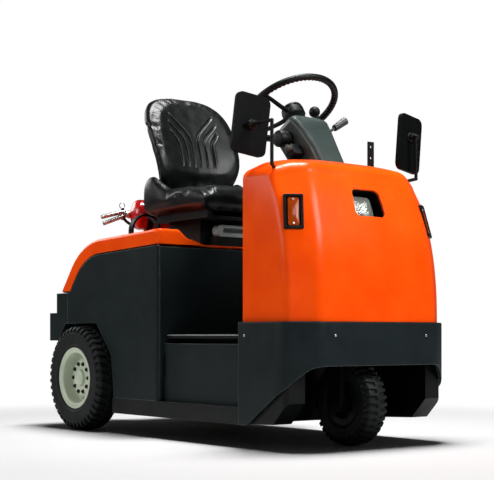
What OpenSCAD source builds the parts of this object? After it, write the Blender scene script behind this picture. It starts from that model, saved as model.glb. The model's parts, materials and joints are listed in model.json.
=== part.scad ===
// Three-wheeled electric tow tractor with a tilting battery hood, a driver's seat and a rear tow coupler.
// +X points forward, +Y to the driver's left, +Z up. The origin is on the ground at the middle of the box.

/* [Overall] */
// Distance from the rear axle to the steered front wheel's axle
wheelbase = 1188; // [1170:1:1210]
// Length of the front bumper ahead of the front axle
front_overhang = 157; // [150:1:175]
// Length behind the rear axle to the end of the tow coupler
rear_overhang = 385; // [370:1:410]
// Width over the side panels and the sills
body_w = 730; // [710:1:750]
// Clear height under the sills
ground_clear = 78; // [70:1:90]

/* [Rear wheels] */
// Outer diameter of a rear tyre
rear_tyre_d = 414; // [404:1:418]
// Width of a rear tyre
rear_tyre_w = 112; // [106:1:116]
// How far the rear tyres stand out from the body's sides
tyre_out = 43; // [39:1:47]
// Diameter over a rear rim's flanges
rear_flange_d = 244; // [236:1:250]
// Width over a rear rim's flanges
rear_rim_w = 100; // [94:1:102]
// Number of lugs on each side of a rear tyre
rear_lugs = 42; // [38:1:46]
// Depth of the grooves between a rear tyre's lugs
rear_groove = 8; // [6:0.5:9]

/* [Front wheel] */
// Outer diameter of the front tyre
front_tyre_d = 292; // [280:1:296]
// Width of the front tyre
front_tyre_w = 94; // [88:1:98]
// Diameter over the front rim's flanges
front_flange_d = 152; // [146:1:158]
// Width over the front rim's flanges
front_rim_w = 76; // [70:1:82]
// Number of lugs on each side of the front tyre
front_lugs = 36; // [32:1:40]
// Depth of the grooves between the front tyre's lugs
front_groove = 7; // [5:0.5:8]
// Diameter of the front axle pin
front_pin_d = 25; // [20:1:30]
// Thickness of a fork leg
fork_leg_t = 16; // [12:1:20]
// Diameter of the kingpin
kingpin_d = 56; // [48:1:64]

/* [Rims and tyres] */
// Sheet thickness of the rims
rim_t = 5; // [4:0.5:7]
// Height of a rim flange above its bead seat
flange_h = 18; // [14:1:20]

/* [Chassis] */
// Height of the sill rails
sill_h = 58; // [50:1:66]
// Width of the sill rails
sill_w = 40; // [34:1:46]
// Thickness of the chassis plates
plate_t = 12; // [10:1:14]
// Distance from the rear axle forward to the battery compartment's front face
wall_ahead = 545; // [530:1:560]
// Height of the floor's upper face
floor_z = 378; // [368:1:388]
// Height of the step panels' upper edge
step_top_z = 347; // [335:1:352]
// Inset of the step panels from the body's side
step_inset = 31; // [28:1:36]
// Width of the well round the front wheel
well_w = 550; // [500:1:560]

/* [Rear bumper] */
// Distance from the rear axle back to the lower block's rear face
tail_behind = 266; // [255:1:275]
// Step from the lower block's rear face to the upper block's
tail_step = 58; // [48:1:64]
// Height of the lower block's underside above the rear axle
tail_under = 148; // [142:1:154]
// Height of the step between the blocks above the rear tyres' top
tail_shelf = 55; // [46:1:64]
// Height of the upper block's top above the rear tyres' top
tail_rise = 135; // [126:1:138]

/* [Hood] */
// Height of the hood's upper front edge
hood_z = 769; // [760:1:780]
// Depth of the hood's band along its sides
hood_band = 56; // [50:1:60]
// Radius of the bend at the hood's rear
hood_bend_r = 300; // [260:5:320]
// Wall thickness of the hood
hood_t = 8; // [6:0.5:10]
// Height of the seat trough's floor
trough_z = 716; // [712:1:722]

/* [Front bumper and cowl] */
// Length of the bumper and cowl from nose to rear edge
cowl_l = 310; // [300:1:320]
// Height of the bumper's top ledge
bumper_top_z = 421; // [412:1:430]
// Wall thickness of the bumper
bumper_t = 12; // [10:1:14]
// Width of the ledge that the bumper leaves in front of the cowl
ledge = 13; // [10:1:18]
// Width of the ledge at the cowl's sides
side_ledge = 20; // [16:1:22]
// Height of the cowl's top at the middle
cowl_top_z = 980; // [970:1:990]
// Wall thickness of the cowl
cowl_t = 8; // [6:0.5:10]
// Lean of the cowl's front face at lamp height
cowl_lean = 59; // [50:1:64]

/* [Steering wheel] */
// Radius of the steering wheel's rim at its tube's centre
steer_r = 168; // [160:1:172]
// Diameter of the rim's tube
steer_tube_d = 25; // [22:1:28]
// Lean of the steering column from the vertical, in degrees
column_lean = 32; // [30:0.5:34]
// Distance of the steering wheel's centre ahead of the rear axle
steer_ahead = 870; // [862:1:878]
// Height of the steering wheel's centre
steer_z = 1198; // [1190:1:1206]

/* [Seat] */
// Distance of the seat cushion's rear edge ahead of the rear axle
seat_ahead = 222; // [215:1:232]
// Length of the seat cushion
cushion_l = 410; // [395:1:420]
// Width of the seat cushion
cushion_w = 466; // [450:1:476]
// Height of the cushion's underside
cushion_z = 846; // [840:1:852]
// Height of the seat back's top
back_top_z = 1342; // [1325:1:1355]

/* [Tow coupler] */
// Diameter of the tow pin's bores
tow_bore_d = 33; // [31:1:36]
// Height of the gap between the coupler's jaws
jaw_gap = 52; // [46:1:56]
// Drop of the middle of the coupler's jaws below the rear bumper
coupler_drop = 50; // [44:1:55]

/* [Fits] */
// Gap left where one piece seats against another
seat_gap = 0.3; // [0.2:0.05:0.5]
// Gap left round the hood and the panels beside it
panel_gap = 6; // [5:0.5:8]

/* [Hidden] */
$fn = 64;

orange = [0.93, 0.28, 0.04];
charcoal = [0.13, 0.16, 0.18];
black = [0.05, 0.05, 0.055];
cream = [0.72, 0.74, 0.64];
steel = [0.55, 0.56, 0.57];

overall_l = rear_overhang + wheelbase + front_overhang;
rear_axle_x = rear_overhang - overall_l / 2;
front_axle_x = rear_axle_x + wheelbase;
nose_x = front_axle_x + front_overhang;
rear_axle_z = rear_tyre_d / 2;
front_axle_z = front_tyre_d / 2;
wall_x = rear_axle_x + wall_ahead;
tail_x = rear_axle_x - tail_behind;
upper_tail_x = tail_x + tail_step;
cowl_x = nose_x - cowl_l;
half_w = body_w / 2;
rear_track = body_w + 2 * tyre_out - rear_tyre_w;
tail_z0 = rear_axle_z + tail_under;
tail_z1 = rear_tyre_d + tail_shelf;
tail_z2 = rear_tyre_d + tail_rise;
coupler_z = tail_z0 - coupler_drop;
sill_top_z = ground_clear + sill_h;
belly_z = ground_clear + plate_t;
axis_up = [-sin(column_lean), 0, cos(column_lean)];
axis_ahead = [cos(column_lean), 0, sin(column_lean)];
steer_centre = [rear_axle_x + steer_ahead, 0, steer_z];

// Hood outline seen from the side: front edge, bend and rear foot
hood_front = [wall_x, hood_z];
hood_knee = [rear_axle_x - 11, hood_z - 19];
hood_foot = [rear_axle_x - 176, tail_z2 + 7];
hood_n1 = inward(hood_knee - hood_front);
hood_n2 = inward(hood_foot - hood_knee);

function unit(v) = v / norm(v);
// Unit vector to the left of a direction
function inward(v) = unit([-v.y, v.x]);
// Points of a round corner of radius r at p, between the points a and b beside it
function round_corner(a, p, b, r, n) =
    let (u = unit(a - p), v = unit(b - p), half = acos(u * v) / 2)
    let (c = p + unit(u + v) * r / sin(half), s = p + u * r / tan(half), e = p + v * r / tan(half))
    let (a0 = atan2(s.y - c.y, s.x - c.x), a1 = atan2(e.y - c.y, e.x - c.x))
    let (turn = ((a1 - a0 + 540) % 360) - 180)
    [for (i = [0 : n]) c + r * [cos(a0 + turn * i / n), sin(a0 + turn * i / n)]];
// Outline from rows of [x, y, corner radius]
function rounded(rows, n = 6) =
    let (m = len(rows))
    [for (i = [0 : m - 1])
        let (a = rows[(i + m - 1) % m], p = rows[i], b = rows[(i + 1) % m])
        each p[2] > 0
            ? round_corner([a.x, a.y], [p.x, p.y], [b.x, b.y], p[2], n)
            : [[p.x, p.y]]];
// Hood outline moved inward by d, as rows of [x, z, corner radius]
function hood_edge(d) = [
    [wall_x, hood_front.y + d / hood_n1.y, 0],
    [each hood_knee + d * (hood_n1 + hood_n2) / (1 + hood_n1 * hood_n2), hood_bend_r - d],
    [hood_foot.x + d / hood_n2.x, hood_foot.y, 0]
];

module both_sides() {
    children();
    mirror([0, 1, 0]) children();
}

// Plate with its outline in the XZ plane, from y0 to y1
module side_plate(y0, y1) {
    translate([0, y1, 0]) rotate([90, 0, 0]) linear_extrude(y1 - y0) children();
}

// Closed solid through rings of equally many points, counter-clockwise seen from the last ring
module loft(rings) {
    m = len(rings[0]);
    n = len(rings);
    sides = [for (k = [0 : n - 2], i = [0 : m - 1])
        let (j = (i + 1) % m)
        each [[k * m + i, (k + 1) * m + i, (k + 1) * m + j], [k * m + i, (k + 1) * m + j, k * m + j]]];
    first = [[for (i = [0 : m - 1]) i]];
    last = [[for (i = [0 : m - 1]) n * m - 1 - i]];
    polyhedron([for (r = rings) each r], concat(first, sides, last));
}

// Frame at the point a, its Z pointing at the point b
module along(a, b) {
    v = b - a;
    translate(a) rotate([0, acos(v.z / norm(v)), atan2(v.y, v.x)]) children();
}

// Rod through points, with a slight swelling at its bends
module rod(points, d) {
    for (i = [0 : len(points) - 2])
        along(points[i], points[i + 1]) cylinder(d = d, h = norm(points[i + 1] - points[i]));
    for (i = [1 : 1 : len(points) - 2]) translate(points[i]) sphere(d = d + 1);
}

square_corners = [[-1, -1], [1, -1], [1, 1], [-1, 1]];

// Box with corners rounded in plan
module rounded_box(size, r) {
    linear_extrude(size.z)
        polygon(rounded([for (s = square_corners) [s.x * size.x / 2, s.y * size.y / 2, r]]));
}

// Frame whose Z lies along the steering column, at distance s from the steering wheel's plane
module on_column(s) {
    translate(steer_centre + s * axis_up) rotate([0, -column_lean, 0]) children();
}

rail_y = 190;
rail_w = 40;
axle_tube_r = 45;
rail_z0 = rear_axle_z + axle_tube_r + 18;
rail_z1 = tail_z0;
wheel_room = 23;
bulkhead_x = rear_axle_x + rear_tyre_d / 2 + wheel_room;
front_wall_x = cowl_x - 15;
bearer_y = 250;
floor_t = 12;
box_y = well_w / 2;
bumper_in_y = half_w - bumper_t;
king_plate_z0 = front_tyre_d + 53;
king_plate_t = 25;
beam_z0 = front_tyre_d + 26;
beam_z1 = bumper_top_z - 21;
beam_t = 45;
beam_in_x = nose_x - bumper_t - beam_t;
draw_plate_z0 = coupler_z - 70;
box_front_low = nose_x - 139;
box_front_high = nose_x - 70;

module chassis_frame() {
    color(charcoal) difference() {
        union() {
            // sill rails
            both_sides() translate([bulkhead_x, half_w - sill_w, ground_clear])
                cube([cowl_x - seat_gap - bulkhead_x, sill_w, sill_h]);
            // belly plate under the battery and the floor
            translate([bulkhead_x, -half_w + sill_w - 1, belly_z])
                cube([front_wall_x - bulkhead_x, body_w - 2 * sill_w + 2, plate_t]);
            // bulkhead behind the battery and wall behind the front wheel
            translate([bulkhead_x, -half_w + sill_w, belly_z])
                cube([plate_t, body_w - 2 * sill_w, rail_z1 - belly_z]);
            translate([front_wall_x - plate_t, -half_w + sill_w, ground_clear])
                cube([plate_t, body_w - 2 * sill_w, floor_z - floor_t - ground_clear]);
            // rails over the rear axle and the plate that carries the coupler
            both_sides() translate([tail_x + plate_t, rail_y, rail_z0])
                cube([bulkhead_x - tail_x, rail_w, rail_z1 - rail_z0]);
            translate([tail_x + plate_t, -rail_y - rail_w, draw_plate_z0])
                cube([plate_t, 2 * (rail_y + rail_w), rail_z1 - draw_plate_z0]);
            // floor bearers
            both_sides() translate([wall_x, bearer_y, belly_z + plate_t - 1])
                cube([front_wall_x - wall_x, plate_t, floor_z - floor_t - belly_z - plate_t + 1]);
            // side boxes of the front wheel's well
            intersection() {
                both_sides() side_plate(box_y, bumper_in_y) polygon([
                    [front_wall_x - plate_t, ground_clear], [box_front_low, ground_clear + 8],
                    [box_front_high, ground_clear + 78], [box_front_high, beam_z1],
                    [cowl_x + 40, beam_z1], [cowl_x + 40, floor_z - floor_t],
                    [front_wall_x - plate_t, floor_z - floor_t]
                ]);
                translate([0, 0, ground_clear - 1]) linear_extrude(bumper_top_z)
                    polygon(bumper_plan(bumper_t + seat_gap, front_wall_x - plate_t - 1));
            }
            // beam behind the bumper and plate that holds the kingpin
            translate([beam_in_x, -box_y + beam_t, beam_z0])
                cube([beam_t - seat_gap, 2 * (box_y - beam_t), beam_z1 - beam_z0]);
            translate([beam_in_x - 5, -box_y - 1, beam_z0 + 20])
                cube([15, 2 * box_y + 2, beam_z1 - beam_z0 - 20]);
            translate([front_axle_x - 90, -box_y - 1, king_plate_z0])
                cube([beam_in_x - front_axle_x + 95, 2 * box_y + 2, king_plate_t]);
        }
        translate([front_axle_x, 0, king_plate_z0 - 1])
            cylinder(d = kingpin_d + 2 * seat_gap, h = king_plate_t + 2);
        // room for the front ends of the step panels
        both_sides() translate([front_wall_x - plate_t - 1, half_w - step_inset - step_t - seat_gap, sill_top_z])
            cube([cowl_x - front_wall_x + plate_t + 1, step_inset + step_t + 1, floor_z]);
    }
}

panel_t = 12;
arch_gap = 11;
arch_top_z = rear_tyre_d + arch_gap;
block_x = upper_tail_x + 90;

// Offsets of the wheel arch's corners from the tyre's front and rear edges and from its top
arch_front = [-97, 15];
arch_rear = [7, 70];
arch_drop = 125;
box_corner_r = 20;

// Plan of the battery box and the hood, with round front corners
module box_plan() {
    linear_extrude(hood_z + 1) polygon(rounded([
        [tail_x, -half_w, 0], [wall_x, -half_w, box_corner_r],
        [wall_x, half_w, box_corner_r], [tail_x, half_w, 0]
    ]));
}

module side_panels() {
    front_edge = rear_axle_x + rear_tyre_d / 2;
    color(charcoal) intersection() {
        both_sides() side_plate(half_w - panel_t, half_w) polygon(concat(
            rounded([
                [wall_x, sill_top_z + seat_gap, 0],
                each hood_edge(hood_band + panel_gap),
                [block_x, tail_z2, 0]
            ], 12),
            [
                [block_x, arch_top_z],
                [front_edge + arch_front[0], arch_top_z],
                [front_edge + arch_front[1], arch_top_z - arch_drop],
                [bulkhead_x + plate_t, sill_top_z + seat_gap]
            ]
        ));
        box_plan();
    }
}

buffer_d = 10;
buffer_y = 130;

module compartment_front() {
    top_z = trough_z - hood_t - panel_gap;
    color(charcoal) intersection() {
        translate([wall_x - panel_t, -half_w + panel_t, sill_top_z])
            cube([panel_t, body_w - 2 * panel_t, top_z - sill_top_z]);
        box_plan();
    }
    // rubber buffers under the hood
    color(black) both_sides() translate([wall_x - panel_t / 2, buffer_y, top_z - 1])
        cylinder(d = buffer_d, h = panel_gap + 1 - seat_gap);
}

hinge_d = 14;
hinge_pin_d = 6;
hinge_y = 220;
// Lengths of the hood's knuckle and of each bumper knuckle
hood_knuckle = 30;
end_knuckle = 25;
hinge_x = hood_foot.x - 11.5;
hinge_z = tail_z2 + hinge_d / 2;

// Frame at the middle of the left hood hinge, its Z along the hinge pin
module at_hinge() {
    translate([hinge_x, hinge_y, hinge_z]) rotate([-90, 0, 0]) children();
}

module rear_bumper() {
    rear_edge = rear_axle_x - rear_tyre_d / 2;
    color(charcoal) difference() {
        side_plate(-half_w, half_w) polygon([
            [tail_x, tail_z0], [rear_edge + arch_rear[0], tail_z0],
            [rear_edge + arch_rear[1], arch_top_z], [block_x - seat_gap, arch_top_z],
            [block_x - seat_gap, tail_z2], [upper_tail_x, tail_z2], [upper_tail_x, tail_z1], [tail_x, tail_z1]
        ]);
        rear_lamp_blocks(seat_gap);
    }
    // outer knuckles and pins of the hood's hinges
    color(charcoal) both_sides() at_hinge() {
        for (z = [-hood_knuckle / 2 - end_knuckle - seat_gap, hood_knuckle / 2 + seat_gap])
        translate([0, 0, z]) {
            cylinder(d = hinge_d, h = end_knuckle);
            translate([-hinge_d / 2, 0, 0]) cube([hinge_d, hinge_d / 2 + 1, end_knuckle]);
        }
        cylinder(d = hinge_pin_d, h = hood_knuckle + 2 * end_knuckle, center = true);
    }
}

lamp_w = 96;
lamp_h = 44;
lamp_depth = 14;
rear_lamp_y = 285;

module rear_lamp_blocks(gap) {
    lamp_z = (tail_z1 + tail_z2 - lamp_h) / 2;
    both_sides() translate([upper_tail_x - 3 + gap, rear_lamp_y - lamp_w / 2 - gap, lamp_z - gap])
        cube([lamp_depth, lamp_w + 2 * gap, lamp_h + 2 * gap]);
}

module rear_lamps() {
    color([0.6, 0.03, 0.02]) rear_lamp_blocks(0);
}

module floor_plate() {
    color(black) translate([wall_x + seat_gap, -half_w + step_inset + 14, floor_z - floor_t])
        cube([cowl_x + 40 - seat_gap - wall_x - seat_gap, body_w - 2 * step_inset - 28, floor_t]);
}

notch_h = 42;
step_t = 8;

module step_panels() {
    color(charcoal) both_sides() difference() {
        translate([wall_x + seat_gap, half_w - step_inset - step_t, sill_top_z])
            cube([cowl_x - wall_x - 2 * seat_gap, step_t, step_top_z - sill_top_z]);
        translate([wall_x, half_w - step_inset - step_t - 1, step_top_z - 100]) cube([6, step_t + 2, notch_h]);
    }
}

toe_rise = 92;
toe_run = 26;

module toe_board() {
    toe_y = half_w - flange_w - 1;
    color(black) side_plate(-toe_y, toe_y) polygon([
        [cowl_x + 3, floor_z], [cowl_x + 3 + plate_t, floor_z],
        [cowl_x + 3 + plate_t + toe_run, floor_z + toe_rise], [cowl_x + 3 + toe_run, floor_z + toe_rise]
    ]);
}

corner_x = 70;
corner_y = 103;
flange_w = ledge + cowl_t + 14;

// Plan outline of the bumper moved inward by d, with its rear edge at rear_x
function bumper_plan(d, rear_x) =
    let (k = d * 0.6)
    rounded([
        [rear_x, -half_w + d, 0],
        [nose_x - corner_x - k, -half_w + d, 34],
        [nose_x - d, -half_w + corner_y + k, 34],
        [nose_x - d, half_w - corner_y - k, 34],
        [nose_x - corner_x - k, half_w - d, 34],
        [rear_x, half_w - d, 0]
    ]);

module front_bumper() {
    color(charcoal) difference() {
        translate([0, 0, ground_clear]) linear_extrude(bumper_top_z - ground_clear)
            polygon(bumper_plan(0, cowl_x));
        translate([0, 0, ground_clear - 1]) linear_extrude(bumper_top_z - ground_clear - 11)
            polygon(bumper_plan(bumper_t, cowl_x - 1));
        translate([0, 0, bumper_top_z - 20]) linear_extrude(30) polygon(bumper_plan(flange_w, cowl_x - 1));
        // arch, seen from the side
        side_plate(-half_w - 1, half_w + 1) polygon(rounded([
            [cowl_x + 40, ground_clear - 2, 0], [cowl_x + 57, ground_clear + 8, 30],
            [cowl_x + 167, ground_clear + 79, 300], [nose_x - corner_x, ground_clear + 118, 60],
            [nose_x - 20, bumper_top_z - 152, 30], [nose_x + 1, bumper_top_z - 144, 0],
            [nose_x + 1, ground_clear - 2, 0]
        ]));
    }
}

lean_z0 = bumper_top_z + 9;
lean_z1 = cowl_top_z - 158;
corner_lean = 22;
side_lean = 10;
shoulder_z = cowl_top_z - 75;
roll_r = 50;
// Heights of the cowl's rings as shares of the height from the bumper to the shoulder
ring_shares = [0, 0.2, 0.39, 0.555, 0.7, 0.825, 0.917, 1];
crown = cowl_top_z - shoulder_z - roll_r;

function lean(z) = pow(max(0, z - lean_z0) / (lean_z1 - lean_z0), 2.47);
// Plan outline of the cowl at height z, moved inward by d and drawn in towards its rear edge by the factor s
function cowl_ring(z, zq, d, s) =
    let (q = lean(zq), front = nose_x - ledge - cowl_lean * q - d)
    let (w0 = half_w - side_ledge - d, w1 = half_w - side_ledge - 87 - corner_lean * q - d * 0.6)
    let (w2 = w0 - side_lean * pow(q, 0.7), rear = cowl_x - (d > 0 ? 1 : 0))
    let (flat = rounded([
        [rear, -w0, 0], [front - 66, -w2, 40], [front, -w1, 60], [front + 6, 0, 600],
        [front, w1, 60], [front - 66, w2, 40], [rear, w0, 0]
    ], 5))
    [for (p = flat) [cowl_x + (p.x - cowl_x) * (p.x > cowl_x ? s : 1), p.y * s, z]];
// Solid form of the cowl, moved inward by d
function cowl_rings(d) = concat(
    [for (k = ring_shares)
        let (z = bumper_top_z + k * (shoulder_z - bumper_top_z) - (d > 0 && k == 0 ? 1 : 0))
        cowl_ring(z, z, d, 1)],
    [for (a = [22.5, 45, 67.5, 85])
        let (r = roll_r - d)
        cowl_ring(shoulder_z + r * sin(a), shoulder_z + 20 * sin(a), d, 1 - r * (1 - cos(a)) / 330)],
    [for (s = [0.66, 0.33, 0.02])
        cowl_ring(shoulder_z + roll_r - d + crown * (1 - s * s), shoulder_z + 20, d, s)]
);

lamp_recess_z = cowl_top_z - 160;
lamp_lean = 20;
lamp_x = nose_x - ledge - cowl_lean;
turn_z = cowl_top_z - 202;
turn_turn = 35;
turn_tilt = 15;
turn_w = 58;
turn_h = 112;
turn_x = nose_x - ledge - cowl_lean * lean(turn_z) - 40;
turn_y = half_w - side_ledge - 87 - corner_lean * lean(turn_z) + 60;
mirror_head = [14, 137, 204];
mirror_x = nose_x - 172;
mirror_z = cowl_top_z - 42;
mirror_y = half_w - 34;
grommet_d = 18;
grommet_l = 55;
// Elbow of the left mirror's rod, and the rod's end inside the cowl
mirror_elbow = [mirror_x, mirror_y, mirror_z];
mirror_foot = mirror_elbow - [58, 74, 22];
strip_x = cowl_x + 65;
strip_y = 175;

// Frame on the cowl's left corner face, its X pointing out of the face
module at_turn_lamp() {
    translate([turn_x, turn_y, turn_z]) rotate([0, 0, turn_turn]) rotate([0, -turn_tilt, 0]) children();
}

// Frame on the cowl's front face at the headlamp, its X pointing out of the face
module at_headlamp() {
    translate([lamp_x, 0, lamp_recess_z]) rotate([0, -lamp_lean, 0]) children();
}

// Outline of the headlamp's opening, grown by g
module lamp_opening(g) {
    rotate([90, 0, 90]) linear_extrude(120, center = true) polygon(rounded([
        [-69 - g, -50 - g, 12], [69 + g, -50 - g, 12], [60 + g, 50 + g, 12], [-60 - g, 50 + g, 12]
    ]));
}

module front_cowl() {
    color(orange) difference() {
        loft(cowl_rings(0));
        loft(cowl_rings(cowl_t));
        at_headlamp() lamp_opening(0);
        both_sides() at_turn_lamp() cube([80, turn_w, turn_h], center = true);
        both_sides() along(mirror_foot, mirror_elbow)
            cylinder(d = grommet_d + 2 * seat_gap, h = 2 * grommet_l);
        strip_form(seat_gap);
        column_form(seat_gap);
    }
}

dash_x = cowl_x + 25;
dash_t = 10;

module dash_panel() {
    color(black) difference() {
        intersection() {
            loft(cowl_rings(cowl_t + seat_gap));
            translate([dash_x, -half_w, floor_z + toe_rise + seat_gap]) cube([dash_t, body_w, cowl_top_z]);
        }
        column_form(seat_gap);
    }
}

// Column's foot, below the steering wheel, just ahead of the dash panel
column_foot = min(-250, (steer_centre.x - dash_x) / sin(column_lean) + 28.5);
// Column sections: distance below the steering wheel, half width, reach ahead, reach behind
column_rows = [
    [column_foot, 58, 84, 60], [-240, 62, 83, 62], [-160, 74, 76, 64], [-108, 84, 66, 64],
    [-90, 78, 58, 58], [-78, 60, 48, 48]
];

function column_ring(row, g) =
    let (plan = rounded([
        [-row[3] - g, -row[1] - g, 20], [row[2] + g, -row[1] - g, 20],
        [row[2] + g, row[1] + g, 20], [-row[3] - g, row[1] + g, 20]
    ], 4))
    [for (p = plan) steer_centre + row[0] * axis_up + p.x * axis_ahead + [0, p.y, 0]];

// Solid form of the column cover, grown by g
module column_form(g) {
    loft([for (row = column_rows) column_ring(row, g)]);
}

shaft_d = 24;

module column_cover() {
    color([0.33, 0.37, 0.37]) difference() {
        column_form(0);
        on_column(-150) cylinder(d = shaft_d + 2 * seat_gap, h = 100);
    }
}

switch_s = -165;

module switch_box() {
    color(black) difference() {
        union() {
            on_column(switch_s) translate([-38, -126, -30]) cube([64, 80, 60]);
            on_column(switch_s - 72) translate([-10, -110, -20]) cube([40, 70, 45]);
            on_column(switch_s - 72) translate([10, -100, -2]) rotate([90, 0, 0]) cylinder(d = 22, h = 22);
        }
        column_form(seat_gap);
    }
}

lever_s = -140;
lever_foot = [-25, 50, 0];
lever_tip = [29, 215, 87];
lever_grip_l = 62;

module direction_lever() {
    grip_foot = lever_tip - lever_grip_l * (lever_tip - lever_foot) / norm(lever_tip - lever_foot);
    color(black) difference() {
        on_column(lever_s) {
            rod([lever_foot, grip_foot], 11);
            along(grip_foot, lever_tip) cylinder(d1 = 24, d2 = 30, h = lever_grip_l);
        }
        column_form(seat_gap);
    }
}

lamp_box = [80, 156, 116];
lamp_back_x = -57.5;

module headlamp_housing() {
    color(black) difference() {
        intersection() {
            at_headlamp() translate([lamp_back_x, -lamp_box.y / 2, -lamp_box.z / 2]) cube(lamp_box);
            loft(cowl_rings(cowl_t + seat_gap));
        }
        at_headlamp() intersection() {
            translate([lamp_back_x + 5, -lamp_box.y / 2, -lamp_box.z / 2]) cube(lamp_box);
            lamp_opening(2);
        }
    }
}

module headlamp_lens() {
    color([0.85, 0.87, 0.88]) at_headlamp() translate([lamp_back_x + 5, 0, 0]) rotate([90, 0, 90])
        rounded_box([82, 82, 24], 10);
}

tray_depth = 34;

module turn_lamp_trays() {
    color(black) both_sides() at_turn_lamp() difference() {
        translate([-tray_depth + 2, -turn_w / 2 + seat_gap, -turn_h / 2 + seat_gap])
            cube([tray_depth, turn_w - 2 * seat_gap, turn_h - 2 * seat_gap]);
        translate([-8, -turn_w / 2 + 5, -turn_h / 2 + 5]) cube([20, turn_w - 10, turn_h - 10]);
    }
}

module turn_lamp_lenses() {
    color([0.95, 0.35, 0.02]) both_sides() at_turn_lamp()
        translate([-8, 0, 0]) rotate([90, 0, 90]) rounded_box([36, 96, 9], 6);
}

mirror_rod_d = 12;
// Mirrors: side, distance of the head behind the rod's foot, heights of the head and of the rod's top above
// the foot, turn of the head about the upright, lean of the head in its own plane
mirror_rows = [[1, 37, 130, 154, 12, -6.5], [-1, 115, 143, 143, -3, -7.5]];

// Point p, or its image on the right when s is -1
function on_side(p, s) = [p.x, p.y * s, p.z];
function mirror_top(row) = on_side(mirror_elbow + [0, 0, row[3]], row[0]);
function mirror_mid(row) = on_side(mirror_elbow + [-row[1], 0, row[2]], row[0]);

// Frame of a mirror's head, its X pointing ahead out of the head's back
module at_mirror(row) {
    translate(mirror_mid(row)) rotate([0, 0, row[4]]) rotate([row[5], 0, 0]) children();
}

module mirror_arms() {
    color(black) for (row = mirror_rows) {
        foot = on_side(mirror_foot, row[0]);
        elbow = on_side(mirror_elbow, row[0]);
        // the rod's end clears the turned head by the seat gap
        reach = mirror_head.x / 2 / cos(row[4]) + mirror_rod_d / 2 * abs(tan(row[4])) + seat_gap;
        rod([foot, elbow, mirror_top(row), mirror_top(row) + [reach - row[1], 0, 0]], mirror_rod_d);
        along(foot, elbow) cylinder(d = grommet_d, h = grommet_l);
    }
}

module mirror_heads() {
    color(black) for (row = mirror_rows) at_mirror(row) difference() {
        translate([-mirror_head.x / 2, 0, 0]) rotate([90, 0, 90]) linear_extrude(mirror_head.x)
            polygon(mirror_outline(0));
        translate([-mirror_head.x / 2 - 1, 0, 0]) rotate([90, 0, 90]) linear_extrude(4)
            polygon(mirror_outline(4));
    }
}

function mirror_outline(d) = rounded([for (s = square_corners)
    [s.x * (mirror_head.y / 2 - d), s.y * (mirror_head.z / 2 - d), 24 - d]]);

module mirror_glasses() {
    color([0.8, 0.82, 0.85]) for (row = mirror_rows) at_mirror(row) translate([-mirror_head.x / 2, 0, 0])
        rotate([90, 0, 90]) linear_extrude(3 - seat_gap) polygon(mirror_outline(4 + seat_gap));
}

strip_w = 28;
strip_t = 5;
strip_z = cowl_top_z - 45;
strip_h = 130;
strip_hole_d = 9;
strip_pitch = 40;

// Upright strip, grown by g
module strip_form(g) {
    translate([strip_x - g, strip_y - strip_w / 2 - g, strip_z])
        cube([strip_t + 2 * g, strip_w + 2 * g, strip_h]);
}

module accessory_strip() {
    color(black) difference() {
        strip_form(0);
        for (i = [0, 1]) translate([strip_x - 1, strip_y, strip_z + strip_h - 18 - i * strip_pitch])
            rotate([0, 90, 0]) cylinder(d = strip_hole_d, h = strip_t + 2);
    }
}

// Room round the battery: behind, ahead, at each side and up to the hood
battery_rear = 10;
battery_ahead = 11;
battery_side = 43;
battery_over = 106;

module battery() {
    x0 = bulkhead_x + plate_t + battery_rear;
    y0 = half_w - panel_t - battery_side;
    z0 = belly_z + plate_t;
    color([0.25, 0.25, 0.26]) translate([x0, -y0, z0])
        cube([wall_x - panel_t - battery_ahead - x0, 2 * y0, trough_z - hood_t - battery_over - z0]);
}

drum_r = 60;
drum_l = 90;
hub_in_y = rear_track / 2 + 13;
spigot_d = 60;
spigot_l = 14;
gear_r = 110;
gear_w = 130;
motor_r = 90;
motor_l = 200;
motor_rise = 60;
axle_pad = [80, rail_w, 30];

module rear_axle() {
    color(charcoal) translate([rear_axle_x, 0, rear_axle_z]) {
        rotate([90, 0, 0]) {
            cylinder(r = axle_tube_r, h = 2 * (hub_in_y - drum_l + 10), center = true);
            cylinder(r = gear_r, h = gear_w, center = true);
            both_axle_ends();
        }
        both_sides() translate([-axle_pad.x / 2, rail_y, rail_z0 - rear_axle_z - axle_pad.z]) cube(axle_pad);
        translate([0, 0, motor_rise]) rotate([0, 90, 0]) cylinder(r = motor_r, h = motor_l);
    }
}

module both_axle_ends() {
    for (s = [-1, 1]) mirror([0, 0, s < 0 ? 1 : 0]) {
        translate([0, 0, hub_in_y - drum_l]) cylinder(r = drum_r, h = drum_l - seat_gap);
        translate([0, 0, hub_in_y - 1]) cylinder(d = spigot_d, h = spigot_l + 1 - seat_gap);
    }
}

jaw_w = 110;
jaw_t = 18;
coupler_end_x = -overall_l / 2;
tow_x = coupler_end_x + 46;
pin_y = 84;
pin_x = coupler_end_x + 78;

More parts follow.
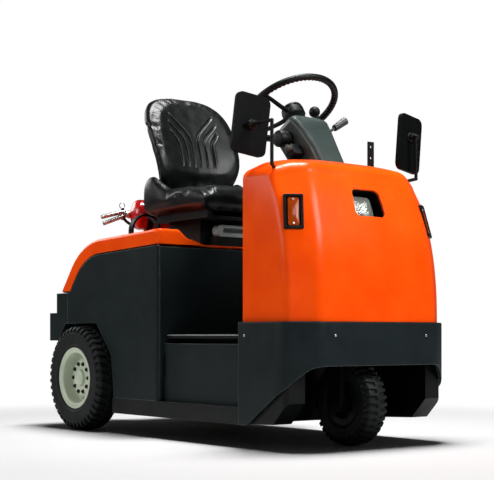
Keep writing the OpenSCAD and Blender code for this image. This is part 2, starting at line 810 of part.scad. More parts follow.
module tow_coupler() {
    jaw_l = tail_x - coupler_end_x;
    color(black) difference() {
        union() {
            translate([tail_x - 22 + plate_t, -rail_y + 60, draw_plate_z0 + 5])
                cube([22, 2 * (rail_y - 60), 110]);
            for (s = [-1, 1]) translate([coupler_end_x, 0, coupler_z + s * (jaw_gap + jaw_t) / 2 - jaw_t / 2])
                linear_extrude(jaw_t) polygon(rounded([
                    [0, -jaw_w / 2, 40], [jaw_l, -jaw_w / 2, 0], [jaw_l, jaw_w / 2, 0], [0, jaw_w / 2, 40]
                ]));
            translate([tail_x - 32, -jaw_w / 2, coupler_z - jaw_gap / 2 - jaw_t])
                cube([30, jaw_w, jaw_gap + 2 * jaw_t]);
            translate([pin_x - 30, jaw_w / 2 - 1, coupler_z + jaw_gap / 2])
                cube([60, pin_y - jaw_w / 2 + 31, jaw_t]);
        }
        translate([tow_x, 0, coupler_z - 100]) cylinder(d = tow_bore_d, h = 200);
        translate([pin_x, pin_y, coupler_z]) cylinder(d = tow_bore_d, h = 100);
    }
}

module tow_pin() {
    pin_d = tow_bore_d - 2;
    color(steel) translate([pin_x, pin_y, coupler_z + jaw_gap / 2 + jaw_t + seat_gap]) {
        translate([0, 0, -125]) cylinder(d = pin_d, h = 126);
        translate([0, 0, -137]) cylinder(d1 = pin_d - 10, d2 = pin_d, h = 12);
        cylinder(d = pin_d + 14, h = 10);
        translate([0, 0, 9]) cylinder(d = 18, h = 26);
        translate([0, 0, 42]) rotate([90, 0, 0]) rotate_extrude() translate([18, 0]) circle(d = 11);
    }
}

// Pedals: position to the left, width, length
pedal_rows = [[-150, 70, 120], [-40, 90, 80]];

module pedals() {
    color(black) for (row = pedal_rows) translate([cowl_x - 62, row[0], floor_z]) {
        translate([-8, -10, 0]) cube([12, 20, 40]);
        rotate([0, 35, 0]) translate([-30, -row[1] / 2, 20]) cube([12, row[1], row[2]]);
    }
}

fork_gap = 9;
leg_y = front_tyre_w / 2 + fork_gap;
front_hub_l = front_tyre_w - 2;
crown_z = front_tyre_d + 16;

module front_fork() {
    crown_t = 22;
    color(charcoal) translate([front_axle_x, 0, 0]) {
        translate([0, 0, crown_z + 1])
            cylinder(d = kingpin_d, h = king_plate_z0 + king_plate_t + 14 - crown_z);
        translate([-45, -leg_y - fork_leg_t, crown_z]) cube([90, 2 * (leg_y + fork_leg_t), crown_t]);
        both_sides() side_plate(leg_y, leg_y + fork_leg_t) hull() {
            translate([-35, crown_z]) square([70, crown_t]);
            translate([0, front_axle_z]) circle(d = 62, $fn = 32);
        }
        translate([0, 0, front_axle_z]) rotate([90, 0, 0])
            cylinder(d = front_pin_d, h = 2 * leg_y + 2, center = true);
        both_sides() translate([0, front_hub_l / 2 + seat_gap, front_axle_z]) rotate([-90, 0, 0])
            cylinder(d = front_pin_d + 14, h = leg_y + 1 - front_hub_l / 2);
    }
}

// Section of a wheel's barrel between its flanges
module rim_section(flange_d, w) {
    seat = flange_d / 2 - flange_h;
    polygon([
        [seat - rim_t, -w / 2], [flange_d / 2, -w / 2],
        [flange_d / 2, -w / 2 + rim_t], [seat, -w / 2 + rim_t],
        [seat, w / 2 - rim_t], [flange_d / 2, w / 2 - rim_t],
        [flange_d / 2, w / 2], [seat - rim_t, w / 2]
    ]);
}

// Section of a tyre that stands on a rim's bead seats
module tyre_section(tyre_d, tyre_w, flange_d, rim_w) {
    seat = flange_d / 2 - flange_h + seat_gap;
    bead = rim_w / 2 - rim_t - seat_gap;
    lip = flange_d / 2 + 2;
    tread_w = tyre_w * 0.39;
    half = [
        [seat, bead, 0], [lip, bead, 4], [lip + 5, tyre_w / 2 - 3, 8], [tyre_d / 2 - 34, tyre_w / 2, 30],
        [tyre_d / 2 - 15, tyre_w / 2 - 3, 12], [tyre_d / 2 - 4, tread_w, 8], [tyre_d / 2, tread_w * 0.3, 0]
    ];
    polygon(rounded(concat(
        [for (p = half) [p.x, -p.y, p.z]],
        [for (i = [len(half) - 1 : -1 : 0]) half[i]]
    ), 3));
}

// Tyre with two staggered rows of lugs beside a rib
module tyre(tyre_d, tyre_w, flange_d, rim_w, lugs, groove, rib) {
    groove_w = PI * tyre_d / lugs / 2;
    difference() {
        rotate_extrude() tyre_section(tyre_d, tyre_w, flange_d, rim_w);
        for (i = [0 : lugs - 1], s = [0, 1])
            rotate([0, 0, (i + s / 2) * 360 / lugs]) mirror([0, 0, s])
                translate([tyre_d / 2 - groove, -groove_w / 2, rib]) cube([2 * groove, groove_w, tyre_w]);
    }
}

// Frame of a rear wheel on side s, its Z pointing outward along the axle
module at_rear_wheel(s) {
    translate([rear_axle_x, s * rear_track / 2, rear_axle_z]) rotate([-90 * s, 0, 0]) children();
}

// Half widths of the ribs between the rows of lugs
rear_rib = 6;
front_rib = 5;
// Rear wheel disc: a flat ring with nuts and a cap, and a cone with vents down to the barrel
dish_r = 66;
dish_h = 31;
cap_r = 40;
cap_h = 26;
nut_ring_r = 54;
nut_d = 16;
nut_h = 14;
vent_ring_r = 83;
vent_d = 15;

module rear_rim(s) {
    disc_z = hub_in_y - rear_track / 2;
    barrel_r = rear_flange_d / 2 - flange_h - rim_t;
    color(cream) at_rear_wheel(s) difference() {
        union() {
            rotate_extrude() rim_section(rear_flange_d, rear_rim_w);
            rotate_extrude() polygon([
                [0, disc_z], [dish_r, disc_z], [barrel_r + 1, disc_z - dish_h],
                [barrel_r + 1, disc_z - dish_h + 2 * rim_t], [dish_r + rim_t / 2, disc_z + rim_t],
                [0, disc_z + rim_t]
            ]);
            translate([0, 0, disc_z + 1]) cylinder(r1 = cap_r, r2 = cap_r - 6, h = cap_h);
            for (a = [0 : 72 : 359]) rotate([0, 0, a])
                translate([nut_ring_r, 0, disc_z + 1]) cylinder(d = nut_d, h = nut_h, $fn = 6);
        }
        translate([0, 0, disc_z - 1]) cylinder(d = spigot_d + 2 * seat_gap, h = spigot_l + 1);
        for (a = [0 : 36 : 359]) rotate([0, 0, a + 18])
            translate([vent_ring_r, 0, disc_z - dish_h - 5]) cylinder(d = vent_d, h = dish_h + 15);
    }
}

module rear_tyre(s) {
    color(black) at_rear_wheel(s)
        tyre(rear_tyre_d, rear_tyre_w, rear_flange_d, rear_rim_w, rear_lugs, rear_groove, rear_rib);
}

module rear_rim_left() {
    rear_rim(1);
}

module rear_rim_right() {
    rear_rim(-1);
}

module rear_tyre_left() {
    rear_tyre(1);
}

module rear_tyre_right() {
    rear_tyre(-1);
}

// Frame of the front wheel, its Z pointing left along the axle
module at_front_wheel() {
    translate([front_axle_x, 0, front_axle_z]) rotate([-90, 0, 0]) children();
}

front_disc_t = 12;
front_bolt_d = 12;
front_hub_r = 30;

module front_rim() {
    barrel_r = front_flange_d / 2 - flange_h - rim_t;
    color(cream) at_front_wheel() difference() {
        union() {
            rotate_extrude() rim_section(front_flange_d, front_rim_w);
            cylinder(r = barrel_r + 1, h = front_disc_t, center = true);
            cylinder(r = front_hub_r, h = front_hub_l, center = true);
            for (a = [0 : 72 : 359]) rotate([0, 0, a])
                translate([(front_hub_r + barrel_r) / 2, 0, 0])
                    cylinder(d = front_bolt_d, h = front_disc_t + 14, center = true, $fn = 6);
        }
        cylinder(d = front_pin_d + 2 * seat_gap, h = front_hub_l + 2, center = true);
    }
}

module front_tyre() {
    color(black) at_front_wheel()
        tyre(front_tyre_d, front_tyre_w, front_flange_d, front_rim_w, front_lugs, front_groove, front_rib);
}

// Spoke directions, counted from straight ahead
spoke_angles = [90, 180, 270];

module steering_wheel() {
    color(black) {
        on_column(0) rotate_extrude() translate([steer_r, 0]) circle(d = steer_tube_d);
        on_column(-44) cylinder(r = 38, h = 40);
        on_column(-78 + seat_gap) cylinder(d = 60, h = 36);
        on_column(-120) cylinder(d = shaft_d, h = 60);
        for (a = spoke_angles) on_column(-20) rotate([0, 0, a]) rotate([0, 90 - 6.5, 0])
            translate([0, 0, 30]) linear_extrude(steer_r - 34) polygon(rounded([
                [-5, -14, 4], [5, -14, 4], [5, 14, 4], [-5, 14, 4]
            ]));
    }
}

knob_turn = 105;

module spinner_knob() {
    color(black) on_column(0) rotate([0, 0, knob_turn]) translate([steer_r, 0, steer_tube_d / 2 + seat_gap]) {
        cylinder(d = 16, h = 16);
        translate([0, 0, 30]) sphere(d = 42);
    }
}

roll = 14;

// Hood's outer form: a prism along Y with its upper side edges rolled over and round front corners
module hood_form() {
    intersection() {
        hull() for (a = [0 : 22.5 : 90])
            side_plate(-half_w + roll * (1 - cos(a)), half_w - roll * (1 - cos(a)))
                polygon(rounded(concat(hood_edge(roll * (1 - sin(a))), [[wall_x, hood_foot.y, 0]]), 12));
        box_plan();
    }
}

// Leaf from a hood knuckle to the hood's rear face
leaf_l = 24;
leaf_t = 6;
leaf_rise = 24;
trough_rear_x = wall_x - 330;

// Half of the seat trough's section: distance from the middle, height above its floor, corner radius
trough_rows = [[148, 0, 20], [200, 17, 40], [232, 23, 25], [285, 73, 0]];

// Seat trough across the hood, grown by g
module trough(g) {
    half = [for (p = trough_rows) [p.x + g, trough_z + p.y - g, p.z]];
    translate([trough_rear_x - g, 0, 0]) rotate([90, 0, 90]) linear_extrude(wall_x - trough_rear_x + g + 1)
        polygon(rounded(concat(
            half,
            [for (i = [len(half) - 1 : -1 : 0]) [-half[i].x, half[i].y, half[i].z]]
        )));
}

module hood() {
    color(orange) difference() {
        union() {
            difference() {
                hood_form();
                side_plate(-half_w + hood_t, half_w - hood_t) polygon(rounded(concat(
                    [[wall_x - hood_t, hood_edge(hood_t)[0].y, 0]],
                    [hood_edge(hood_t)[1], hood_edge(hood_t)[2]],
                    [[hood_edge(hood_t)[2].x, hood_foot.y - 10, 0], [wall_x - hood_t, hood_foot.y - 10, 0]]
                ), 12));
                side_plate(-half_w - 1, half_w + 1) polygon(rounded(concat(
                    [[wall_x + 1, hood_edge(hood_band)[0].y, 0]],
                    [hood_edge(hood_band)[1], hood_edge(hood_band)[2]],
                    [[hood_edge(hood_band)[2].x, hood_foot.y - 10, 0], [wall_x + 1, hood_foot.y - 10, 0]]
                ), 12));
            }
            intersection() {
                hood_form();
                trough(hood_t);
            }
            // knuckles of the hinges
            both_sides() at_hinge() {
                rotate([0, 0, 180]) cylinder(d = hinge_d, h = hood_knuckle, center = true);
                rotate([0, 0, -leaf_rise]) translate([0, -leaf_t / 2, -hood_knuckle / 2])
                    cube([leaf_l, leaf_t, hood_knuckle]);
            }
        }
        trough(0);
        both_sides() at_hinge() cylinder(d = hinge_pin_d + 2 * seat_gap, h = hood_knuckle + 2, center = true);
    }
}

grip_size = [34, 182, 44];
grip_x = wall_x - 36;
grip_z = trough_z + 36;
grip_wall = 6;
slot_w = 130;
slot_h = 22;

module hood_grip() {
    color([0.62, 0.64, 0.64]) translate([grip_x, 0, grip_z + grip_size.z / 2]) rotate([90, 0, 90])
    difference() {
        rounded_box([grip_size.y, grip_size.z, grip_size.x], 18);
        translate([0, 0, grip_wall]) rounded_box([slot_w, slot_h, grip_size.x], 9);
    }
}

base_z0 = trough_z + seat_gap;
seat_x = rear_axle_x + seat_ahead;
base_in = 60;
base_l = 210;
base_w = 270;
apron_w = 190;
slide_y = 185;
slide_w = 22;
slide_h = 32;
slide_in = 45;
slide_l = 340;
tray_t = 12;

module seat_base() {
    slide_z = cushion_z - seat_gap - slide_h;
    apron_x = seat_x + base_in + base_l - 1;
    color(black) {
        translate([seat_x + base_in, -base_w / 2, base_z0]) cube([base_l, base_w, slide_z - base_z0 + 1]);
        // apron under the grip
        translate([apron_x, -apron_w / 2, base_z0])
            cube([grip_x + grip_size.x - apron_x, apron_w, grip_z - seat_gap - base_z0]);
        both_sides() translate([seat_x + slide_in, slide_y - slide_w, slide_z])
            cube([slide_l, slide_w, slide_h]);
        translate([seat_x + base_in, -slide_y + 10, slide_z])
            cube([slide_l - 40, 2 * slide_y - 20, tray_t]);
    }
}

post_y = 90;
post_w = 32;
post_t = 34;
post_behind = 40;
post_ahead = 120;

module seat_frame() {
    x0 = seat_x - post_behind;
    x1 = seat_x + post_ahead;
    z0 = cushion_z - seat_gap - slide_h + tray_t;
    z1 = back_low_z - seat_gap;
    color(black) both_sides() side_plate(post_y, post_y + post_w) polygon([
        [x0, z0], [x1, z0], [x1, z0 + tray_t], [x0 + post_t, z0 + tray_t], [x0 + post_t, z1], [x0, z1]
    ]);
}

cushion_t = 84;
ball = 30;
hip_r = 22;
// Hip bolsters: distance from the cushion's rear edge, inset, height above its underside
hip_rows = [[24, 0, 139], [52, 0, 139], [172, 0, 72], [24, 8, 55], [210, 8, 50]];

module seat_cushion() {
    // height of a ball's centre when its lowest facet lies on the cushion's underside
    foot = ball * cos(180 / 16);
    y = cushion_w / 2 - ball;
    color(black) translate([seat_x, 0, cushion_z]) {
        hull() for (x = [ball, cushion_l - ball], s = [-1, 1], z = [foot, cushion_t - foot])
            translate([x, s * y, z]) sphere(ball, $fn = 16);
        both_sides() hull() for (row = hip_rows)
            translate([row.x, cushion_w / 2 - hip_r - row.y, row.z]) sphere(hip_r, $fn = 16);
    }
}

// Seat back sections from the bottom up: share of the height, half width, thickness, reach of the wings,
// distance of the front face ahead of the cushion's rear edge
back_rows = [
    [0.00, 168, 102, 12, 62], [0.17, 183, 98, 30, 70], [0.28, 199, 90, 44, 61], [0.45, 210, 80, 52, 40],
    [0.625, 211, 78, 46, 16], [0.75, 204, 74, 36, -1], [0.86, 184, 68, 24, -16], [0.936, 150, 56, 12, -27],
    [0.98, 104, 38, 4, -34], [1.00, 64, 20, 1, -38]
];
back_low_z = cushion_z + cushion_t + 6;

function back_ring(row) =
    let (z = back_low_z + row[0] * (back_top_z - back_low_z), x = seat_x + row[4], w = row[1], wing = row[3])
    let (face = [for (i = [-6 : 6]) let (t = i / 6) [x + wing * t * t, w * sin(90 * t), z]])
    let (rear = [for (i = [6 : -1 : -6])
        let (t = i / 6)
        [x - row[2] + wing * 1.2 * pow(t, 4), w * 0.97 * sin(90 * t), z]])
    concat(face, rear);

module seat_back() {
    color(black) loft([for (row = back_rows) back_ring(row)]);
}

ext_d = 124;
ext_l = 290;
ext_turn = 20;
ext_x = rear_axle_x + 2;
ext_y = -150;
ext_z = hood_z + 103;

// Frame at the extinguisher's valve end, its Z pointing along the body to the left
module at_extinguisher() {
    translate([ext_x, ext_y, ext_z]) rotate([0, 0, -ext_turn]) rotate([-90, 0, 0]) children();
}

module extinguisher_body() {
    color([0.72, 0.03, 0.03]) at_extinguisher() rotate_extrude() polygon(rounded([
        [0, 0, 0], [16, 0, 0], [16, 10, 0], [ext_d / 2, 26, 30], [ext_d / 2, ext_l, 18], [0, ext_l, 0]
    ]));
}

module extinguisher_valve() {
    color(steel) at_extinguisher() mirror([0, 0, 1]) translate([0, 0, seat_gap]) {
        cylinder(d = 30, h = 34);
        translate([-10, -8, 30]) cube([20, 16, 84]);
        translate([-8, 11, 26]) rotate([14, 0, 0]) cube([16, 6, 84]);
        translate([0, 0, 18]) rotate([0, 90, 0]) cylinder(d = 14, h = 40);
    }
}

hoop_x = rear_axle_x + 100;
hoop_y = -140;
hoop_r = 70;
hoop_z = hood_z + 26;
band_w = 24;
// Places of the bands along the body
band_rows = [70, 210];

module extinguisher_cradle() {
    band_r = ext_d / 2 + 5;
    color(black) difference() {
        union() {
            at_extinguisher() for (z = band_rows) translate([0, 0, z]) {
                cylinder(r = band_r, h = band_w);
                translate([-22, 0, 0]) cube([44, 160, band_w]);
            }
            translate([hoop_x, hoop_y, hoop_z]) rotate([90, 0, 90]) {
                cylinder(r = hoop_r, h = 28);
                translate([-hoop_r, -100, 0]) cube([2 * hoop_r, 100, 28]);
            }
        }
        translate([hoop_x - 1, hoop_y, hoop_z]) rotate([90, 0, 90]) {
            cylinder(r = hoop_r - 8, h = 30);
            translate([8 - hoop_r, -101, 0]) cube([2 * hoop_r - 16, 101, 30]);
        }
        at_extinguisher() translate([0, 0, 20]) cylinder(r = ext_d / 2 + seat_gap, h = ext_l);
        translate([0, 0, seat_gap]) hood_form();
    }
}

chassis_frame();
side_panels();
compartment_front();
rear_bumper();
floor_plate();
step_panels();
toe_board();
front_bumper();
front_cowl();
dash_panel();
column_cover();
switch_box();
direction_lever();
headlamp_housing();
headlamp_lens();
turn_lamp_trays();
turn_lamp_lenses();
mirror_arms();
mirror_heads();
mirror_glasses();
accessory_strip();
battery();
rear_axle();
tow_coupler();
tow_pin();
pedals();
rear_lamps();
front_fork();
front_rim();
front_tyre();
rear_rim_left();
rear_rim_right();
rear_tyre_left();
rear_tyre_right();
steering_wheel();
spinner_knob();
hood();
hood_grip();
seat_base();
seat_frame();
seat_cushion();
seat_back();
extinguisher_body();
extinguisher_valve();
extinguisher_cradle();
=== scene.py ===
import json
import math

import bmesh
import bpy
import numpy as np
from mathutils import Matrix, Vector


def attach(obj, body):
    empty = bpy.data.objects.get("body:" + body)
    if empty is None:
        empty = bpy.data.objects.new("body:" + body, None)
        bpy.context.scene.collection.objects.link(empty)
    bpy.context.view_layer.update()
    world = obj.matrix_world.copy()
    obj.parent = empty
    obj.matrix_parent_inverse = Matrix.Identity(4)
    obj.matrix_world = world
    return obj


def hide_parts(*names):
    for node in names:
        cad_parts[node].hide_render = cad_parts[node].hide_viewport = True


# Looks of a small three-wheeled tow tractor. Shapes are worked out in millimetres, +X ahead, +Z up.

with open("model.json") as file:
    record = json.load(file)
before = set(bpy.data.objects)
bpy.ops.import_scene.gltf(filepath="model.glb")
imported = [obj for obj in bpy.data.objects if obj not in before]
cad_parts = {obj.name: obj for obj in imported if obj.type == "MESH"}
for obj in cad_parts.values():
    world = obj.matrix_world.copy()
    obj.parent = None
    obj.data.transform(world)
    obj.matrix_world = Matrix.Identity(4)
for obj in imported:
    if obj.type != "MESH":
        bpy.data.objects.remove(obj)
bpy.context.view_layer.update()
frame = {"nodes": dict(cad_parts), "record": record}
nodes = frame["nodes"]
scene = bpy.context.scene
print("frame loaded:", len(nodes), "nodes")


def addNode(tree, kind, inputs=(), **settings):
    # shader node with its settings; each input takes a value, or a link where another node's output is given
    node = tree.nodes.new("ShaderNode" + kind)
    for key, value in settings.items():
        setattr(node, key, value)
    for key, value in dict(inputs).items():
        if isinstance(value, bpy.types.NodeSocket):
            tree.links.new(value, node.inputs[key])
        else:
            node.inputs[key].default_value = value
    return node


def addObject(name, data):
    thing = bpy.data.objects.new(name, data)
    scene.collection.objects.link(thing)
    return thing


# camera, fitted to both wheels, the body's edges and the ground

cameraSet = {
    "place": (3.887, -2.879, 0.376), "ahead": (-0.794, 0.608), "focalPixels": 1249.7, "imageWidth": 494,
    "horizonBelowMiddle": 95.5, "sensor": 36, "clipEnd": 60,
}


def makeCamera():
    c = cameraSet
    data = bpy.data.cameras.new("camera")
    data.sensor_fit = "HORIZONTAL"
    data.sensor_width = c["sensor"]
    data.lens = c["focalPixels"] / c["imageWidth"] * data.sensor_width
    data.shift_y = c["horizonBelowMiddle"] / c["imageWidth"]
    data.clip_end = c["clipEnd"]
    camera = addObject("camera", data)
    camera.location = c["place"]
    camera.rotation_euler = (math.radians(90), 0, math.atan2(-c["ahead"][0], c["ahead"][1]))
    scene.camera = camera


makeCamera()
print("camera set")

# studio: a white world seen by the camera, and large soft lamps

studioSet = {
    "worldSeen": 1.0, "worldLight": 0.035,
    # name: place, aimed at, size, watts
    "lamps": {
        "frontLamp": ((3.7, 0.9, 3.0), (0.6, 0.0, 0.6), (2.0, 1.6), 165),
        "topLamp": ((0.3, 0.2, 4.2), (0.0, 0.0, 0.0), (1.5, 1.1), 240),
        "sideLamp": ((-1.4, -4.0, 2.3), (-0.4, 0.0, 0.5), (2.6, 1.6), 72),
        "fillLamp": ((3.4, -3.6, 1.2), (0.3, 0.0, 0.6), (2.4, 1.8), 9),
        "rearLamp": ((-4.0, -0.6, 2.4), (-0.3, 0.0, 0.9), (2.2, 1.6), 50),
    },
}


def makeStudio():
    s = studioSet
    world = bpy.data.worlds.new("studio")
    scene.world = world
    world.use_nodes = True
    tree = world.node_tree
    back = tree.nodes["Background"]
    back.inputs["Color"].default_value = (1, 1, 1, 1)
    rays = addNode(tree, "LightPath")
    level = addNode(tree, "MapRange", {"To Min": s["worldLight"], "To Max": s["worldSeen"],
                                       "Value": rays.outputs["Is Camera Ray"]})
    tree.links.new(level.outputs["Result"], back.inputs["Strength"])
    for name, (place, aim, size, watts) in s["lamps"].items():
        data = bpy.data.lights.new(name, "AREA")
        data.shape = "RECTANGLE"
        data.size, data.size_y = size
        data.energy = watts
        lamp = addObject(name, data)
        lamp.location = place
        lamp.rotation_euler = (Vector(aim) - Vector(place)).to_track_quat("-Z", "Y").to_euler()
    scene.view_settings.view_transform = "Standard"
    scene.view_settings.look = "None"


makeStudio()
print("studio lit")

# shapes: each is a pair of points, in millimetres, and a list of face arrays


def gridFaces(rows, cols, wrapRows=False, wrapCols=False):
    # quads between neighbouring rows and columns of a grid of points
    i = np.arange(rows if wrapRows else rows - 1)[:, None]
    j = np.arange(cols if wrapCols else cols - 1)[None, :]
    i1, j1 = (i + 1) % rows, (j + 1) % cols
    quads = np.stack([i * cols + j, i1 * cols + j, i1 * cols + j1, i * cols + j1], -1)
    return quads.reshape(-1, 4)


def grid(points, wrapRows=False, wrapCols=False, capRows=False):
    # surface through a (rows, cols, 3) array; capRows closes the first and last row with a fan to its middle
    rows, cols = points.shape[:2]
    flat = points.reshape(-1, 3)
    faces = [gridFaces(rows, cols, wrapRows, wrapCols)]
    if capRows:
        ends = np.array([points[0].mean(0), points[-1].mean(0)])
        j = np.arange(cols)
        j1 = (j + 1) % cols
        top = (rows - 1) * cols
        first = np.stack([np.full(cols, rows * cols), j, j1], -1)
        last = np.stack([np.full(cols, rows * cols + 1), j1 + top, j + top], -1)
        flat = np.vstack([flat, ends])
        faces.append(np.vstack([first, last]))
    return flat, faces


def revolve(profile, steps, closed=False):
    # profile rows of [radius, height] turned about Z; an open profile is closed with fans at both ends
    profile = np.asarray(profile, float)
    a = np.linspace(0, 2 * np.pi, steps, endpoint=False)
    r, h = profile[:, :1], profile[:, 1:]
    points = np.stack([r * np.cos(a), r * np.sin(a), h + 0 * a], -1)
    return grid(points, wrapRows=closed, wrapCols=True, capRows=not closed)


def tube(path, radius, sides=16):
    # circle of the given radius carried along a path, with its plane square to the path
    path = np.asarray(path, float)
    t = np.gradient(path, axis=0)
    t /= np.linalg.norm(t, axis=1, keepdims=True)
    helper = np.where(np.abs(t[:, 2:]) > 0.9, [[1.0, 0, 0]], [[0, 0, 1.0]])
    n = np.cross(t, helper)
    n /= np.linalg.norm(n, axis=1, keepdims=True)
    b = np.cross(t, n)
    a = np.linspace(0, 2 * np.pi, sides, endpoint=False)[None, :, None]
    radius = np.broadcast_to(np.asarray(radius, float), len(path))[:, None, None]
    points = path[:, None] + radius * (np.cos(a) * n[:, None] + np.sin(a) * b[:, None])
    return grid(points, wrapCols=True, capRows=True)


def block(size, r, steps=4):
    # box of the given size with all edges rounded to r: corner centres plus r times a unit sphere's normal
    q = np.linspace(0, np.pi / 2, steps + 1)
    lat = np.concatenate([q - np.pi / 2, q])
    up = np.repeat([-1.0, 1.0], steps + 1)
    lon = np.concatenate([q + k * np.pi / 2 for k in range(4)])
    sx = np.repeat([1.0, -1, -1, 1], steps + 1)
    sy = np.repeat([1.0, 1, -1, -1], steps + 1)
    n = np.stack([np.cos(lat)[:, None] * np.cos(lon), np.cos(lat)[:, None] * np.sin(lon),
                  np.sin(lat)[:, None] + 0 * lon], -1)
    corner = np.stack([sx + 0 * lat[:, None], sy + 0 * lat[:, None], up[:, None] + 0 * sx], -1)
    points = corner * (np.asarray(size, float) / 2 - r) + r * n
    return grid(points, wrapCols=True, capRows=True)


def turned(shape, matrix, offset=(0, 0, 0)):
    # shape turned by a 3 by 3 matrix, then moved
    points, faces = shape
    return points @ np.asarray(matrix, float).T + np.asarray(offset, float), faces


def joined(shapes):
    # several shapes as one
    starts = np.cumsum([0] + [len(p) for p, _ in shapes])
    points = np.vstack([p for p, _ in shapes])
    faces = [f + s for (_, sets), s in zip(shapes, starts) for f in sets]
    return points, faces


def axes(z, x=(1, 0, 0)):
    # matrix whose third column is the direction z and whose first is nearest to x
    z = np.asarray(z, float) / np.linalg.norm(z)
    y = np.cross(z, x)
    if np.linalg.norm(y) < 1e-6:
        y = np.cross(z, (0, 1, 0))
    y /= np.linalg.norm(y)
    return np.stack([np.cross(y, z), y, z], 1)


def turnZ(degrees):
    c, s = math.cos(math.radians(degrees)), math.sin(math.radians(degrees))
    return np.array([[c, -s, 0], [s, c, 0], [0, 0, 1.0]])


def turnY(degrees):
    c, s = math.cos(math.radians(degrees)), math.sin(math.radians(degrees))
    return np.array([[c, 0, s], [0, 1.0, 0], [-s, 0, c]])


def roundedLine(rows, n):
    # open line through rows of [x, y, corner radius], each inner corner an arc of n + 1 points
    rows = np.asarray(rows, float)
    out = [rows[:1, :2]]
    for a, p, b in zip(rows[:-2], rows[1:-1], rows[2:]):
        u = (a[:2] - p[:2]) / np.linalg.norm(a[:2] - p[:2])
        v = (b[:2] - p[:2]) / np.linalg.norm(b[:2] - p[:2])
        half = math.acos(np.clip(u @ v, -1, 1)) / 2
        c = p[:2] + (u + v) / np.linalg.norm(u + v) * p[2] / math.sin(half)
        s = p[:2] + u * p[2] / math.tan(half) - c
        e = p[:2] + v * p[2] / math.tan(half) - c
        a0 = math.atan2(s[1], s[0])
        turn = (math.atan2(e[1], e[0]) - a0 + np.pi) % (2 * np.pi) - np.pi
        angle = a0 + turn * np.linspace(0, 1, n + 1)
        out.append(c + p[2] * np.stack([np.cos(angle), np.sin(angle)], -1))
    out.append(rows[-1:, :2])
    return np.vstack(out)


def lengths(line):
    # distance along a line of points, at each of them
    return np.concatenate([[0], np.cumsum(np.linalg.norm(np.diff(line, axis=0), axis=1))])


def pointsAt(line, at):
    # points of an open line at the given distances along it
    along = lengths(line)
    return np.stack([np.interp(at, along, line[:, 0]), np.interp(at, along, line[:, 1])], -1)


def evenly(line, count):
    return pointsAt(line, np.linspace(0, lengths(line)[-1], count))


def smoothRows(xs, ys, at):
    # smooth curve through the points (xs, ys): cubic pieces with slopes limited so that it doesn't overshoot
    xs, ys = np.asarray(xs, float), np.asarray(ys, float)
    step = np.diff(ys) / np.diff(xs)
    limit = 3 * np.minimum(abs(step[:-1]), abs(step[1:]))
    inner = np.clip((step[:-1] + step[1:]) / 2, -limit, limit)
    slope = np.concatenate([step[:1], np.where(step[:-1] * step[1:] <= 0, 0, inner), step[-1:]])
    i = np.clip(np.searchsorted(xs, at) - 1, 0, len(xs) - 2)
    h = xs[i + 1] - xs[i]
    t = (at - xs[i]) / h
    return ((2 * t**3 - 3 * t**2 + 1) * ys[i] + (t**3 - 2 * t**2 + t) * h * slope[i]
            + (3 * t**2 - 2 * t**3) * ys[i + 1] + (t**3 - t**2) * h * slope[i + 1])


def fillMesh(name, shape):
    points, faces = shape
    corners = np.concatenate([f.ravel() for f in faces])
    sizes = np.concatenate([np.full(len(f), f.shape[1]) for f in faces])
    mesh = bpy.data.meshes.new(name)
    mesh.vertices.add(len(points))
    mesh.vertices.foreach_set("co", (np.asarray(points) * 0.001).ravel())
    mesh.loops.add(len(corners))
    mesh.loops.foreach_set("vertex_index", corners.astype(np.int32))
    mesh.polygons.add(len(sizes))
    mesh.polygons.foreach_set("loop_start", np.concatenate([[0], np.cumsum(sizes)[:-1]]).astype(np.int32))
    mesh.update(calc_edges=True)
    mesh.validate()
    return mesh


def shadeSmooth(mesh, sharpDegrees):
    mesh.polygons.foreach_set("use_smooth", np.ones(len(mesh.polygons), bool))
    mesh.set_sharp_from_angle(angle=math.radians(sharpDegrees))


def tidyMesh(mesh, sharpDegrees):
    # merges doubles, points the faces outwards and shades smooth up to an angle
    bm = bmesh.new()
    bm.from_mesh(mesh)
    bmesh.ops.remove_doubles(bm, verts=bm.verts, dist=2e-6)
    bmesh.ops.dissolve_degenerate(bm, edges=bm.edges, dist=1e-6)
    bmesh.ops.recalc_face_normals(bm, faces=bm.faces)
    bm.to_mesh(mesh)
    bm.free()
    shadeSmooth(mesh, sharpDegrees)
    mesh.update()


def finishOf(slotName):
    # the slot black_plastic wears the finish blackPlastic
    first, *rest = slotName.split("_")
    return surfaces[first + "".join(word.capitalize() for word in rest)]


def dressed(piece, body, slotName, finish=None):
    # body, slot and material of a piece; the finish is the slot's own unless another is named
    piece.data.materials.clear()
    piece.data.materials.append(surfaces[finish] if finish else finishOf(slotName))
    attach(piece, body)


def addPiece(name, shape, body, slotName, sharp=38, finish=None):
    mesh = fillMesh(name, shape)
    tidyMesh(mesh, sharp)
    piece = addObject(name, mesh)
    dressed(piece, body, slotName, finish)
    return piece


print("shape functions ready")

# finishes


